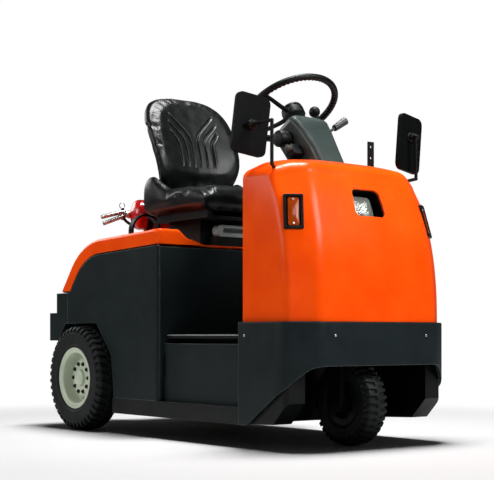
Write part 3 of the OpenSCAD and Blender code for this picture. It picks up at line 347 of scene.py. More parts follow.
def newSurface(name, look):
    # principled surface: colour and roughness vary with noise, fine bump on top, soft edges where asked, and
    # a lighter colour on the edges where asked, partly wear and partly painted highlight
    mat = bpy.data.materials.new(name)
    mat.use_nodes = True
    tree = mat.node_tree
    shader = tree.nodes["Principled BSDF"]
    place = addNode(tree, "TexCoord").outputs["Object"]
    mottle = addNode(tree, "TexNoise", {"Scale": look.get("mottleScale", 9), "Detail": 5, "Vector": place})
    tint = addNode(tree, "ValToRGB", {"Fac": mottle.outputs["Fac"]})
    for stop, position, tone in zip(tint.color_ramp.elements, (0.32, 0.68), look["colors"]):
        stop.position = position
        stop.color = (*tone, 1)
    color = tint.outputs["Color"]
    smear = addNode(tree, "TexNoise", {"Scale": 26, "Detail": 6, "Vector": place}).outputs["Fac"]
    low, high = look["rough"]
    rough = addNode(tree, "MapRange", {"From Min": 0.3, "From Max": 0.7, "To Min": low, "To Max": high,
                                       "Value": smear})
    tree.links.new(rough.outputs["Result"], shader.inputs["Roughness"])
    normal = None
    if look.get("edge"):
        normal = addNode(tree, "Bevel", {"Radius": look["edge"] * 0.001}, samples=6).outputs["Normal"]
    if look.get("wear"):
        # lighter edge colour, partly wear and partly painted highlight where light would catch the rounded
        # edges; edge mask: one less the cosine between the softened and the true normal, broken up by noise
        plain = addNode(tree, "NewGeometry").outputs["Normal"]
        cosine = addNode(tree, "VectorMath", {0: normal, 1: plain}, operation="DOT_PRODUCT").outputs["Value"]
        mask = addNode(tree, "MapRange", {"From Min": 0.985, "From Max": 0.86, "Value": cosine})
        broken = addNode(tree, "Math", {0: mask.outputs["Result"], 1: smear}, operation="MULTIPLY")
        wornAndHighlit = addNode(tree, "Mix", {"Factor": broken.outputs["Value"], "A": color, "B": (*look["wear"], 1)},
                       data_type="RGBA")
        color = wornAndHighlit.outputs["Result"]
    tree.links.new(color, shader.inputs["Base Color"])
    for kind, scale, height in look.get("grain", ()):
        if kind == "cells":
            grain = addNode(tree, "TexVoronoi", {"Scale": scale, "Vector": place}).outputs["Distance"]
        else:
            grain = addNode(tree, "TexNoise", {"Scale": scale, "Detail": 3, "Vector": place}).outputs["Fac"]
        bump = addNode(tree, "Bump", {"Distance": height * 0.001, "Strength": 1, "Height": grain})
        if normal:
            tree.links.new(normal, bump.inputs["Normal"])
        normal = bump.outputs["Normal"]
    if normal:
        tree.links.new(normal, shader.inputs["Normal"])
    for socket, value in look.get("sockets", {}).items():
        shader.inputs[socket].default_value = value
    return mat


# each finish's lighter edge colour is partly wear and partly painted highlight on its rounded edges
finishes = {
    "orangePaint": {
        "colors": ((0.90, 0.066, 0.0012), (0.98, 0.086, 0.0025)), "rough": (0.20, 0.28), "edge": 3.0,
        "grain": [("noise", 420, 0.02)], "wear": (1.0, 0.17, 0.03), "sockets": {"Specular IOR Level": 0.14},
    },
    "charcoalPaint": {
        "colors": ((0.0068, 0.0112, 0.0124), (0.0092, 0.0146, 0.0160)), "rough": (0.38, 0.50), "edge": 3.5,
        "grain": [("noise", 650, 0.05)], "wear": (0.20, 0.23, 0.23), "sockets": {"Specular IOR Level": 0.14},
    },
    "blackPaint": {
        "colors": ((0.0018, 0.0023, 0.0024), (0.0034, 0.0041, 0.0042)), "rough": (0.36, 0.50), "edge": 1.5,
        "grain": [("noise", 700, 0.05)], "wear": (0.05, 0.055, 0.055),
        "sockets": {"Specular IOR Level": 0.18},
    },
    "redPaint": {
        "colors": ((0.42, 0.006, 0.006), (0.55, 0.010, 0.009)), "rough": (0.16, 0.26), "edge": 1.0,
        "grain": [("noise", 300, 0.03)], "wear": (0.6, 0.05, 0.04),
        "sockets": {"Coat Weight": 0.3, "Coat Roughness": 0.06},
    },
    "rimPaint": {
        "colors": ((0.44, 0.50, 0.38), (0.56, 0.61, 0.48)), "rough": (0.30, 0.46), "edge": 1.5,
        "grain": [("noise", 500, 0.05)], "wear": (0.75, 0.78, 0.7),
    },
    "blackPlastic": {
        "colors": ((0.0018, 0.0022, 0.0023), (0.0034, 0.0040, 0.0041)), "rough": (0.38, 0.52), "edge": 1.5,
        "grain": [("cells", 900, 0.05)], "wear": (0.03, 0.034, 0.034),
        "sockets": {"Specular IOR Level": 0.16},
    },
    "mirrorBlack": {
        "colors": ((0.0016, 0.0020, 0.0021), (0.0028, 0.0033, 0.0034)), "rough": (0.5, 0.62), "edge": 1.5,
        "grain": [("cells", 900, 0.05)], "wear": (0.02, 0.022, 0.022),
        "sockets": {"Specular IOR Level": 0.06},
    },
    "columnGrey": {
        "colors": ((0.024, 0.037, 0.034), (0.033, 0.048, 0.045)), "rough": (0.32, 0.44), "edge": 5.0,
        "grain": [("cells", 1100, 0.03)], "wear": (0.30, 0.36, 0.34), "sockets": {"Specular IOR Level": 0.3},
    },
    "gripGrey": {
        "colors": ((0.22, 0.25, 0.235), (0.28, 0.31, 0.295)), "rough": (0.38, 0.5), "edge": 2.5,
        "grain": [("cells", 1000, 0.04)], "wear": (0.5, 0.54, 0.52),
    },
    "leverGrey": {
        "colors": ((0.030, 0.038, 0.036), (0.048, 0.058, 0.055)), "rough": (0.36, 0.5), "edge": 1.5,
        "grain": [("cells", 1000, 0.04)], "wear": (0.2, 0.23, 0.22), "sockets": {"Specular IOR Level": 0.3},
    },
    "floorRubber": {
        "colors": ((0.0030, 0.0036, 0.0038), (0.0055, 0.0062, 0.0064)), "rough": (0.6, 0.75), "edge": 1.5,
        "grain": [("cells", 500, 0.1)], "sockets": {"Specular IOR Level": 0.2},
    },
    "tyreRubber": {
        "colors": ((0.0034, 0.0042, 0.0043), (0.0068, 0.0080, 0.0082)), "rough": (0.50, 0.66), "edge": 0,
        "mottleScale": 14, "grain": [("noise", 300, 0.12)], "sockets": {"Specular IOR Level": 0.22},
    },
    "seatVinyl": {
        "colors": ((0.0018, 0.0024, 0.0025), (0.0034, 0.0042, 0.0043)), "rough": (0.30, 0.42), "edge": 0,
        "grain": [("cells", 420, 0.10), ("noise", 90, 0.12)], "sockets": {"Specular IOR Level": 0.26},
    },
    "mirrorGlass": {
        "colors": ((0.86, 0.88, 0.9), (0.9, 0.92, 0.94)), "rough": (0.01, 0.03), "edge": 0,
        "sockets": {"Metallic": 1.0},
    },
    "brightSteel": {
        "colors": ((0.44, 0.44, 0.43), (0.58, 0.58, 0.565)), "rough": (0.22, 0.36), "edge": 1.0,
        "grain": [("noise", 400, 0.04)], "sockets": {"Metallic": 1.0},
    },
    "batteryCase": {
        "colors": ((0.02, 0.02, 0.022), (0.03, 0.03, 0.032)), "rough": (0.5, 0.6), "edge": 3.0,
        "grain": [("noise", 200, 0.1)],
    },
    "lampClear": {
        "colors": ((0.52, 0.58, 0.53), (0.62, 0.68, 0.63)), "rough": (0.05, 0.10), "edge": 0.8,
        "sockets": {"Transmission Weight": 0.8, "IOR": 1.49},
    },
    "lampAmber": {
        "colors": ((0.50, 0.060, 0.002), (0.62, 0.085, 0.003)), "rough": (0.06, 0.12), "edge": 0.8,
        "sockets": {"Transmission Weight": 0.45, "IOR": 1.49},
    },
    "lampRed": {
        "colors": ((0.38, 0.006, 0.005), (0.48, 0.009, 0.007)), "rough": (0.08, 0.14), "edge": 1.0,
        "sockets": {"Transmission Weight": 0.4, "IOR": 1.49},
    },
}
surfaces = {name: newSurface(name, look) for name, look in finishes.items()}
for part in frame["record"]["subparts"]:
    slots = nodes[part["node"]].data.materials
    slots.clear()
    slots.append(finishOf(part["material_slot"]))
ownFinish = {"direction_lever": "leverGrey", "mirror_heads": "mirrorBlack", "chassis_frame": "blackPaint"}
for name, finish in ownFinish.items():
    nodes[name].data.materials[0] = surfaces[finish]
print("finishes set:", len(surfaces))

# modifiers, cutting and padding


def applied(piece):
    # the piece's mesh with its modifiers worked in
    graph = bpy.context.evaluated_depsgraph_get()
    old = piece.data
    mesh = bpy.data.meshes.new_from_object(piece.evaluated_get(graph))
    piece.modifiers.clear()
    piece.data = mesh
    bpy.data.meshes.remove(old)


def carved(piece, shapes, sharp):
    # the shapes are taken out of the piece one after another
    finish = piece.data.materials[0] if piece.data.materials else None
    for shape in shapes:
        mesh = fillMesh("cutter", shape)
        tidyMesh(mesh, 30)
        cutter = addObject("cutter", mesh)
        cut = piece.modifiers.new("cut", "BOOLEAN")
        cut.operation = "DIFFERENCE"
        cut.solver = "EXACT"
        cut.object = cutter
        applied(piece)
        bpy.data.objects.remove(cutter)
        bpy.data.meshes.remove(mesh)
    shadeSmooth(piece.data, sharp)
    piece.data.materials.clear()
    if finish:
        piece.data.materials.append(finish)


def walled(piece, thickness):
    # gives an open surface a wall on its inner side
    wall = piece.modifiers.new("wall", "SOLIDIFY")
    wall.thickness = thickness * 0.001
    wall.offset = -1
    applied(piece)


def moved(shape, offset):
    return turned(shape, np.eye(3), offset)


def prism(outline, depth):
    # closed outline of (y, z) rows drawn along X, from 0 to depth
    outline = np.asarray(outline, float)
    ends = [np.column_stack([np.full(len(outline), x), outline]) for x in (0, depth)]
    return grid(np.array(ends), wrapCols=True, capRows=True)


def roundedLoop(rows, n):
    # closed outline through rows of [x, y, corner radius]
    rows = [list(r) for r in rows]
    return roundedLine([rows[-1]] + rows + [rows[0]], n)[1:-1]


clothSet = {
    "use_pressure": True, "quality": 6, "mass": 0.3, "tension_stiffness": 22, "compression_stiffness": 22,
    "shear_stiffness": 12, "bending_stiffness": 2,
}


def vertexArray(mesh):
    points = np.empty(len(mesh.vertices) * 3)
    mesh.vertices.foreach_get("co", points)
    return points.reshape(-1, 3)


def inflated(piece, voxel, pressure, cap, frames=20):
    # voxel remesh, then frames of cloth with inner pressure and no gravity; no point moves further than cap
    remesh = piece.modifiers.new("remesh", "REMESH")
    remesh.mode = "VOXEL"
    remesh.voxel_size = voxel * 0.001
    remesh.use_smooth_shade = True
    applied(piece)
    start = vertexArray(piece.data)
    cloth = piece.modifiers.new("cloth", "CLOTH").settings
    for key, value in clothSet.items():
        setattr(cloth, key, value)
    cloth.uniform_pressure_force = pressure
    cloth.effector_weights.gravity = 0
    for step in range(1, frames + 1):
        scene.frame_set(step)
    graph = bpy.context.evaluated_depsgraph_get()
    move = vertexArray(piece.evaluated_get(graph).data) - start
    piece.modifiers.clear()
    scene.frame_set(1)
    length = np.linalg.norm(move, axis=1, keepdims=True)
    move *= np.minimum(1, cap * 0.001 / np.maximum(length, 1e-9))
    piece.data.vertices.foreach_set("co", (start + move).ravel())
    smooth = piece.modifiers.new("smooth", "SMOOTH")
    smooth.factor = 0.5
    smooth.iterations = 5
    finer = piece.modifiers.new("finer", "SUBSURF")
    finer.levels = finer.render_levels = 1
    applied(piece)


def pressed(piece, depth):
    # every point moves inwards along its normal by depth(points, normals), both in millimetres
    mesh = piece.data
    points, normals = vertexArray(mesh), np.empty(len(mesh.vertices) * 3)
    mesh.vertex_normals.foreach_get("vector", normals)
    normals = normals.reshape(-1, 3)
    points = points - normals * depth(points * 1000, normals)[:, None] * 0.001
    mesh.vertices.foreach_set("co", points.ravel())
    mesh.update()


def lineDistance(p, line):
    # distance from each point of p to a line of points, and the nearest place's share of the line's length
    best = np.full(len(p), 1e9)
    share = np.zeros(len(p))
    along = lengths(line)
    along /= along[-1]
    for a, b, s0, s1 in zip(line[:-1], line[1:], along[:-1], along[1:]):
        t = np.clip(((p - a) @ (b - a)) / ((b - a) @ (b - a)), 0, 1)
        d = np.linalg.norm(p - a - t[:, None] * (b - a), axis=1)
        near = d < best
        best[near] = d[near]
        share[near] = (s0 + t * (s1 - s0))[near]
    return best, share


def ramp(x, low, high):
    # smooth step from 0 at low to 1 at high
    t = np.clip((x - low) / (high - low), 0, 1)
    return t * t * (3 - 2 * t)


# cowl: a smooth shell of the same form as its solid

cowlSet = {
    "noseX": 865, "ledge": 13, "rearX": 555, "baseHalf": 345, "lowZ": 421, "wall": 8,
    "leanZ": (430, 822), "leanPower": 2.47, "frontLean": 59, "cornerLean": 22,
    "sideLean": 10, "sidePower": 0.7,
    "cornerIn": 87, "facetRun": 66, "bulge": 6, "cornerRadii": (40, 60, 600),
    "shoulderZ": 917, "rollR": 36, "rollTurn": 79, "rollReach": 330, "rollLean": 20,
    "topZ": 984, "crownEnd": 0.006,
    "sideDrop": 20, "dropY": (235, 335), "dropZ": (800, 925),
    "dashX": 580, "dashT": 10, "dashIn": 9, "dashLowZ": 470, "dashEdgeY": (0, 60), "dashEdgeZ": (880, 940),
    "lampPlace": (793, 0, 820), "lampLean": -20, "lampRows": ((-69, -50), (69, -50), (60, 50), (-60, 50)),
    "lampR": 20, "lampCut": 120,
    "turnPlace": (768, 301.6, 778), "turnTurn": 35, "turnLean": -15, "turnSize": (80, 58, 112), "turnR": 4,
    "inside": (0.6, 0, 0.6),
}


def cowlRing(z, zLean, shrink):
    # plan outline at height z: front and corners lean back as a power of the height, shrunk to the rear edge
    c = cowlSet
    low, high = c["leanZ"]
    q = max(0, (zLean - low) / (high - low)) ** c["leanPower"]
    front = c["noseX"] - c["ledge"] - c["frontLean"] * q
    w1 = c["baseHalf"] - c["cornerIn"] - c["cornerLean"] * q
    w2 = c["baseHalf"] - c["sideLean"] * q ** c["sidePower"]
    side, corner, mid = c["cornerRadii"]
    half = [[c["rearX"], -c["baseHalf"], 0], [front - c["facetRun"], -w2, side], [front, -w1, corner]]
    other = [[x, -y, r] for x, y, r in reversed(half)]
    x, y = evenly(roundedLine(half + [[front + c["bulge"], 0, mid]] + other, 12), 181).T
    return np.stack([c["rearX"] + (x - c["rearX"]) * shrink, y * shrink, np.full(len(x), z)], -1)


def cowlSurface():
    # rings up the walls, round the shoulder on an arc of radius rollR, then over a low crown
    c = cowlSet
    rows = [cowlRing(z, z, 1) for z in np.linspace(c["lowZ"], c["shoulderZ"], 64)]
    for a in np.radians(np.linspace(0, c["rollTurn"], 16)[1:]):
        shrink = 1 - c["rollR"] * (1 - math.cos(a)) / c["rollReach"]
        lift = math.sin(a)
        z, zLean = c["shoulderZ"] + c["rollR"] * lift, c["shoulderZ"] + c["rollLean"] * lift
        rows.append(cowlRing(z, zLean, shrink))
    edgeZ = rows[-1][0, 2]
    for s in np.linspace(1, 0, 24)[1:]:
        s = max(s, c["crownEnd"])
        z = edgeZ + (c["topZ"] - edgeZ) * (1 - s * s)
        rows.append(cowlRing(z, c["shoulderZ"] + c["rollLean"], shrink * s))
    points = np.array(rows)
    drop = ramp(np.abs(points[..., 1]), *c["dropY"]) * ramp(points[..., 2], *c["dropZ"])
    points[..., 2] -= c["sideDrop"] * drop
    return points


def turnFrame(side):
    # matrix and place of a turn lamp's frame, X pointing out of the cowl's corner face
    c = cowlSet
    place = np.array(c["turnPlace"], float) * (1, side, 1)
    return turnZ(side * c["turnTurn"]) @ turnY(c["turnLean"]), place


def makeCowl():
    c = cowlSet
    mesh = fillMesh("cowl", grid(cowlSurface()))
    tidyMesh(mesh, 60)
    face = mesh.polygons[0]
    if face.normal.dot(face.center - Vector(c["inside"])) < 0:
        mesh.flip_normals()
    piece = addObject("cowl", mesh)
    walled(piece, c["wall"])
    opening = prism(roundedLoop([[y, z, c["lampR"]] for y, z in c["lampRows"]], 8), c["lampCut"])
    opening = moved(opening, (-c["lampCut"] / 2, 0, 0))
    cutters = [turned(opening, turnY(c["lampLean"]), c["lampPlace"])]
    cutters += [turned(block(c["turnSize"], c["turnR"]), *turnFrame(side)) for side in (-1, 1)]
    carved(piece, cutters, 35)
    dressed(piece, "chassis", "orange_paint")
    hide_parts("front_cowl")


def makeDash():
    # plate across the cowl: the cowl's own section at its place, drawn in by the wall and a gap
    c = cowlSet
    outline = []
    for ring in cowlSurface():
        half = ring[: len(ring) // 2 + 1]
        if half[:, 0].max() > c["dashX"] + 1 and half[0, 2] > c["dashLowZ"]:
            y, z = (np.interp(c["dashX"], half[:, 0], half[:, k]) for k in (1, 2))
            inward = c["dashIn"] * ramp(-y, *c["dashEdgeY"])
            outline.append((y + inward, z - c["dashIn"] * ramp(z, *c["dashEdgeZ"])))
    outline = np.array([(outline[0][0], c["dashLowZ"])] + outline)
    loop = np.vstack([outline, (outline * (-1, 1))[::-1]])
    plate = moved(prism(loop, c["dashT"]), (c["dashX"], 0, 0))
    piece = addPiece("dashPlate", plate, "chassis", "black_plastic", 30)
    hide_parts("dash_panel")


makeCowl()
makeDash()
print("cowl made")

# seat

seatSet = {
    # cushion: heights of its top along X at the sides and at the middle
    "rearX": -257, "frontX": 156, "half": 229, "underZ": 848, "midZ": 886, "bolster": (0.70, 0.87),
    "sideTop": ((-257, -242, -200, -150, -92, 50, 120, 156), (990, 1002, 1000, 972, 939, 930, 920, 905)),
    "middleTop": ((-257, -200, -60, 60, 110, 140, 156), (912, 915, 914, 924, 933, 927, 905)),
    "rimPower": 18, "swellPower": 0.34, "sidePull": 0.03,
    # seams on the cushion: share of the half width, place along X, depths of both, width
    "seamAt": 0.70, "rollX": 70, "seamDepths": (3.0, 2.6), "seamWidth": 3.2, "seamFacing": (0.3, 0.6),
    # back: height, half width, front face at the middle, reach of the wings, thickness
    "backRows": (
        (922, 138, -202, 4, 60), (960, 164, -193, 16, 82), (1000, 179, -187, 30, 84),
        (1050, 195, -198, 44, 78), (1120, 206, -219, 52, 76), (1190, 207, -244, 46, 74),
        (1240, 201, -261, 36, 72), (1285, 181, -276, 24, 66), (1316, 147, -287, 12, 54),
        (1333, 102, -293, 4, 38), (1339, 60, -296, 1, 20),
    ),
    "acrossPower": 0.42, "deepPower": 0.5,
    # sewn channels on each side: distance from the middle, height of the bend, and the outer end
    "channels": ((15.5, 1176, 106, 1262), (46.5, 1162, 116, 1230), (77.5, 1146, 116, 1192)),
    "channelLowZ": 1046, "channelDepth": 8.5, "channelWidth": 4.0, "channelReach": 150, "bend": (0.25, 0.34),
    "channelFade": (0.25, 0.86), "channelFacing": (0.1, 0.45),
    # raised lip beside a channel: share of its depth, distance, width
    "lip": (0.22, 10, 4.5),
    # seam round the side wings: height, width, depth, and where across it starts and is full
    "wingSeam": (1200, 10, 3.5), "wingY": (150, 180),
    # hollow below the channels: middle height, half height, half width, depth
    "hollow": (985, 26, 90, 11), "hollowEdge": 0.45,
    "voxel": 5.0, "pressure": 4, "cap": 7,
}


def bell(x, width):
    return np.exp(-((x / width) ** 2))


def cushionSurface():
    # pillow over the square [-1, 1]^2: both faces meet at the rim as (1 - u^n)(1 - v^n) goes to nothing
    s = seatSet
    line = np.sin(np.linspace(-1, 1, 71) * np.pi / 2)
    u, v = np.meshgrid(line, line, indexing="ij")
    n = s["rimPower"]
    swell = np.clip((1 - np.abs(u) ** n) * (1 - np.abs(v) ** n), 0, 1) ** s["swellPower"]
    x = (s["rearX"] + s["frontX"]) / 2 + (s["frontX"] - s["rearX"]) / 2 * u
    y = s["half"] * v * (1 - s["sidePull"] * np.abs(u) ** 4)
    bolster = ramp(np.abs(v), *s["bolster"])
    top = smoothRows(*s["middleTop"], x) * (1 - bolster) + smoothRows(*s["sideTop"], x) * bolster
    faces = [np.stack([x, y, s["midZ"] + (z - s["midZ"]) * swell], -1) for z in (top, s["underZ"])]
    return joined([grid(face) for face in faces])


def backSurface():
    # superellipse sections up the back, bent forward as the square of the distance from the middle
    s = seatSet
    rows = np.array(s["backRows"], float)
    z = rows[0, 0] + (rows[-1, 0] - rows[0, 0]) * np.linspace(0, 1, 60)
    half, face, wing, thick = (smoothRows(rows[:, 0], rows[:, k], z)[:, None] for k in (1, 2, 3, 4))
    a = np.linspace(0, 2 * np.pi, 96, endpoint=False)[None, :]
    across = np.sign(np.cos(a)) * np.abs(np.cos(a)) ** s["acrossPower"]
    deep = np.sign(np.sin(a)) * np.abs(np.sin(a)) ** s["deepPower"]
    x = face - thick / 2 + wing * across**2 + thick / 2 * deep
    return grid(np.stack([x, half * across, z[:, None] + 0 * a], -1), wrapCols=True, capRows=True)


def channelLines():
    # each channel runs up, then bends outwards on a parabola
    s = seatSet
    before, after = s["bend"]
    t = np.linspace(0, 1, 10)[:, None]
    lines = []
    for side in (-1, 1):
        for y, bendZ, endY, endZ in s["channels"]:
            low, bend, end = np.array([y, s["channelLowZ"]]), np.array([y, bendZ]), np.array([endY, endZ])
            first, last = bend + (low - bend) * before, bend + (end - bend) * after
            curve = first * (1 - t) ** 2 + 2 * bend * t * (1 - t) + last * t**2
            lines.append(np.vstack([low, curve, end]) * (side, 1))
    return lines


def backChannels(points, normals):
    # depth of the sewn channels, the hollow below them and the seam round the wings
    s = seatSet
    across, z = np.abs(points[:, 1]), points[:, 2]
    depth = np.zeros(len(points))
    front = ramp(normals[:, 0], *s["channelFacing"])
    near = (front > 0) & (across < s["channelReach"]) & (z > s["channelLowZ"] - 30)
    flat = points[near][:, 1:]
    lip, lipAt, lipWidth = s["lip"]
    start, stop = s["channelFade"]
    for line in channelLines():
        d, share = lineDistance(flat, line)
        fade = ramp(share, 0, start) * (1 - ramp(share, stop, 1))
        groove = s["channelDepth"] * bell(d, s["channelWidth"]) * (0.35 + 0.65 * fade) * (share > 0)
        raised = lip * s["channelDepth"] * bell(d - lipAt, lipWidth) * fade
        depth[near] = np.where(groove > depth[near], groove, depth[near]) - raised
    middle, high, wide, deep = s["hollow"]
    hollow = deep * bell(z - middle, high) * (1 - ramp(across, s["hollowEdge"] * wide, wide))
    seamZ, seamWidth, seamDepth = s["wingSeam"]
    wing = seamDepth * bell(z - seamZ, seamWidth) * ramp(across, *s["wingY"])
    return (depth + hollow) * front + wing


def cushionSeams(points, normals):
    # a seam on each side between the middle and the bolster, and one across behind the front roll
    s = seatSet
    across, edge = np.abs(points[:, 1]), s["seamAt"] * s["half"]
    long, cross = s["seamDepths"]
    depth = long * bell(across - edge, s["seamWidth"])
    depth += cross * bell(points[:, 0] - s["rollX"], s["seamWidth"]) * (across < edge)
    return depth * ramp(normals[:, 2], *s["seamFacing"])


def makeSeat():
    s = seatSet
    for name, shape, node, marks in (("seatCushion", cushionSurface(), "seat_cushion", cushionSeams),
                                     ("seatBack", backSurface(), "seat_back", backChannels)):
        piece = addPiece(name, shape, "hood_lid", "seat_vinyl", 80)
        inflated(piece, s["voxel"], s["pressure"], s["cap"])
        pressed(piece, marks)
        piece.data.materials.clear()
        piece.data.materials.append(finishOf("seat_vinyl"))
        piece.data.polygons.foreach_set("use_smooth", np.ones(len(piece.data.polygons), bool))
        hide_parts(node)


makeSeat()
print("seat made")

# tyres

tyreSet = {
    # name: body, node, middle; outer radius, half width, flange radius, bead radius, bead half width, lugs
    "tyres": {
        "rearTyreLeft": ("rear_wheel_left", "rear_tyre_left", (-480, 352, 207),
                         208, 56, 122, 104.5, 44.5, 42),
        "rearTyreRight": ("rear_wheel_right", "rear_tyre_right", (-480, -352, 207),
                          208, 56, 122, 104.5, 44.5, 42),
        "frontTyre": ("front_wheel", "front_tyre", (708, 0, 146), 147, 47, 76, 58.5, 32.5, 36),
    },
    "grooveDepth": 7.5, "ribHalf": 5.5, "slant": 0.32, "crownDrop": 4, "ridge": (1.1, 1.8),
    # places round one lug and its groove, as shares of their pitch
    "steps": (0.02, 0.14, 0.26, 0.38, 0.48, 0.52, 0.64, 0.76, 0.88, 0.98),
}


def tyreSurface(outer, half, flange, bead, beadHalf, lugs):
    # section of bead, sidewall, shoulder and tread, turned about Y; grooves sink along the normal
    t = tyreSet
    lip = flange + 2
    rows = [[bead, -beadHalf, 0], [lip, -beadHalf, 4], [lip + 5, -half + 3, 8], [outer - 34, -half, 30],
            [outer - 15, -half + 3, 14], [outer - t["crownDrop"], -half * 0.78, 10], [outer, 0, 260]]
    rows = rows + [[r, -y, c] for r, y, c in reversed(rows[:-1])]
    r, y = evenly(roundedLine(rows, 8), 92).T
    tangent = np.stack([np.gradient(r), np.gradient(y)], -1)
    tangent /= np.linalg.norm(tangent, axis=1, keepdims=True)
    share = (np.arange(lugs)[:, None] + np.array(t["steps"])).ravel() / lugs
    rightGroove = (np.tile(t["steps"], lugs) > 0.5).astype(float)[None, :]
    sideGroove = np.where(y[:, None] < 0, rightGroove, 1 - rightGroove)
    reach = ramp(r, outer - 30, outer - 20) * ramp(np.abs(y), t["ribHalf"], t["ribHalf"] + 3)
    sink = t["grooveDepth"] * sideGroove * reach[:, None]
    height, width = t["ridge"]
    ridges = sum(height * bell(r - c, width) for c in (flange + 12, flange + 17, outer - 40))
    sink = sink - (ridges * (np.abs(y) > half * 0.7))[:, None]
    radius = r[:, None] - tangent[:, 1:] * sink
    across = y[:, None] + tangent[:, :1] * sink
    angle = 2 * np.pi * (share[None, :] + t["slant"] / lugs * (np.abs(y) / half)[:, None])
    points = np.stack([radius * np.cos(angle), across, radius * np.sin(angle)], -1)
    return grid(points, wrapRows=True, wrapCols=True)


def makeTyres():
    for name, (body, node, middle, *sizes) in tyreSet["tyres"].items():
        piece = addPiece(name, moved(tyreSurface(*sizes), middle), body, "tyre_rubber", 32)
        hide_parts(node)


makeTyres()
print("tyres made")

# hood: profile from its front edge over the bend to its foot, drawn across, with rolled sides and a trough

hoodSet = {
    "front": (65, 769), "knee": (-491, 750), "foot": (-656, 556), "bendR": 300, "half": 365,
    "roll": 14, "frontRoll": 9, "band": 56, "lowZ": 713, "cornerR": 20, "wall": 7.5,
    "trough": ((0, 120, 152, 197, 226, 245, 274, 300, 400), (716, 716, 717, 733, 738, 750, 777, 800, 860)),
    "troughRear": (248, 270), "troughLift": 110, "troughEdge": (298, 350), "blend": 7,
    "hinge": (-667.5, 220, 556), "pinR": 3.3, "knuckleR": 7, "knuckleL": 30,
    "leaf": (24, 30, 6), "leafR": 1.2, "leafRise": 24,
}


def softMin(a, b, width):
    # smaller of a and b, with a round transition
    h = np.clip(0.5 + 0.5 * (b - a) / width, 0, 1)
    return b * (1 - h) + a * h - width * h * (1 - h)


def hoodSurface():
    h = hoodSet
    line = roundedLine([[*h["front"], 0], [*h["knee"], h["bendR"]], [*h["foot"], 0]], 48)
    # more points along the profile where the trough's rear edge crosses it
    at = np.linspace(h["frontRoll"], lengths(line)[-1], 96)
    at = np.unique(np.concatenate([at, np.linspace(*h["troughEdge"], 22)]))
    x, z = (column[:, None] for column in pointsAt(line, at).T)
    tangent = np.stack([np.gradient(x[:, 0], at), np.gradient(z[:, 0], at)], -1)
    tangent /= np.linalg.norm(tangent, axis=1, keepdims=True)
    turn = np.linspace(0, np.pi / 2, 8)
    side = np.concatenate([np.full(6, h["half"]), h["half"] - h["roll"] * (1 - np.cos(turn[1:]))])
    drop = np.concatenate([np.linspace(h["band"], h["roll"], 6), h["roll"] * (1 - np.sin(turn[1:]))])
    top = np.linspace(h["half"] - h["roll"], 0, 72)[1:]
    y = np.concatenate([side, top, -top[-2::-1], -side[::-1]])[None, :]
    b = np.concatenate([drop, 0 * top, 0 * top[:-1], drop[::-1]])[None, :]
    px = np.minimum(x - b * tangent[:, 1:], h["front"][0])
    pz = z + b * tangent[:, :1]
    # below the foot's level the points slide back up along the profile
    short = np.maximum(0, h["foot"][1] - pz)
    slope = tangent[-1]
    px, pz = px + short * slope[0] / slope[1], pz + short
    floor = smoothRows(*h["trough"], np.abs(y)) + h["troughLift"] * ramp(-px, *h["troughRear"])
    pz = softMin(pz, floor, h["blend"])
    # front face below a round edge
    edge, front = pz[0], h["front"][0]
    r = np.minimum(h["frontRoll"], 0.9 * (edge - h["lowZ"]))
    height = edge - r - h["lowZ"]
    rows = [np.stack([0 * edge + front, h["lowZ"] + height * k], -1) for k in np.linspace(0, 1, 5)]
    for a in np.linspace(0, np.pi / 2, 7)[1:-1]:
        rows.append(np.stack([front - r * (1 - math.cos(a)), edge - r * (1 - math.sin(a))], -1))
    face = np.array(rows)
    px, pz = np.vstack([face[..., 0], px]), np.vstack([face[..., 1], pz])
    y = np.broadcast_to(y, px.shape)
    # the square front corners in plan become arcs: (u, w) is scaled by max(u, w) / |(u, w)|
    c = h["cornerR"]
    u, w = (px - front + c) / c, (np.abs(y) - h["half"] + c) / c
    corner = (u > 0) & (w > 0)
    k = np.where(corner, np.maximum(u, w) / np.maximum(np.hypot(u, w), 1e-9), 1)
    px = np.where(corner, front - c + c * u * k, px)
    y = np.where(corner, np.sign(y) * (h["half"] - c + c * w * k), y)
    return np.stack([px, y, pz], -1)


def makeHood():
    h = hoodSet
    piece = addPiece("hoodShell", grid(hoodSurface()), "hood_lid", "orange_paint", 50)
    high = max(piece.data.polygons, key=lambda face: face.center.z)
    if high.normal.z < 0:
        piece.data.flip_normals()
    walled(piece, h["wall"])
    tidyMesh(piece.data, 40)
    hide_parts("hood")
    hx, hy, hz = h["hinge"]
    rise, reach = math.radians(h["leafRise"]), h["leaf"][0] / 2
    end = h["knuckleL"] / 2
    knuckle = [[h["pinR"], -end], [h["knuckleR"], -end], [h["knuckleR"], end], [h["pinR"], end]]
    shapes = []
    for side in (-1, 1):
        shapes.append(turned(revolve(knuckle, 40, closed=True), axes((0, 1, 0)), (hx, side * hy, hz)))
        leafPlace = (hx + reach * math.cos(rise), side * hy, hz + reach * math.sin(rise))
        shapes.append(turned(block(h["leaf"], h["leafR"]), turnY(-h["leafRise"]), leafPlace))
    addPiece("hoodHinges", joined(shapes), "hood_lid", "orange_paint")


makeHood()
print("hood made")

# lamps

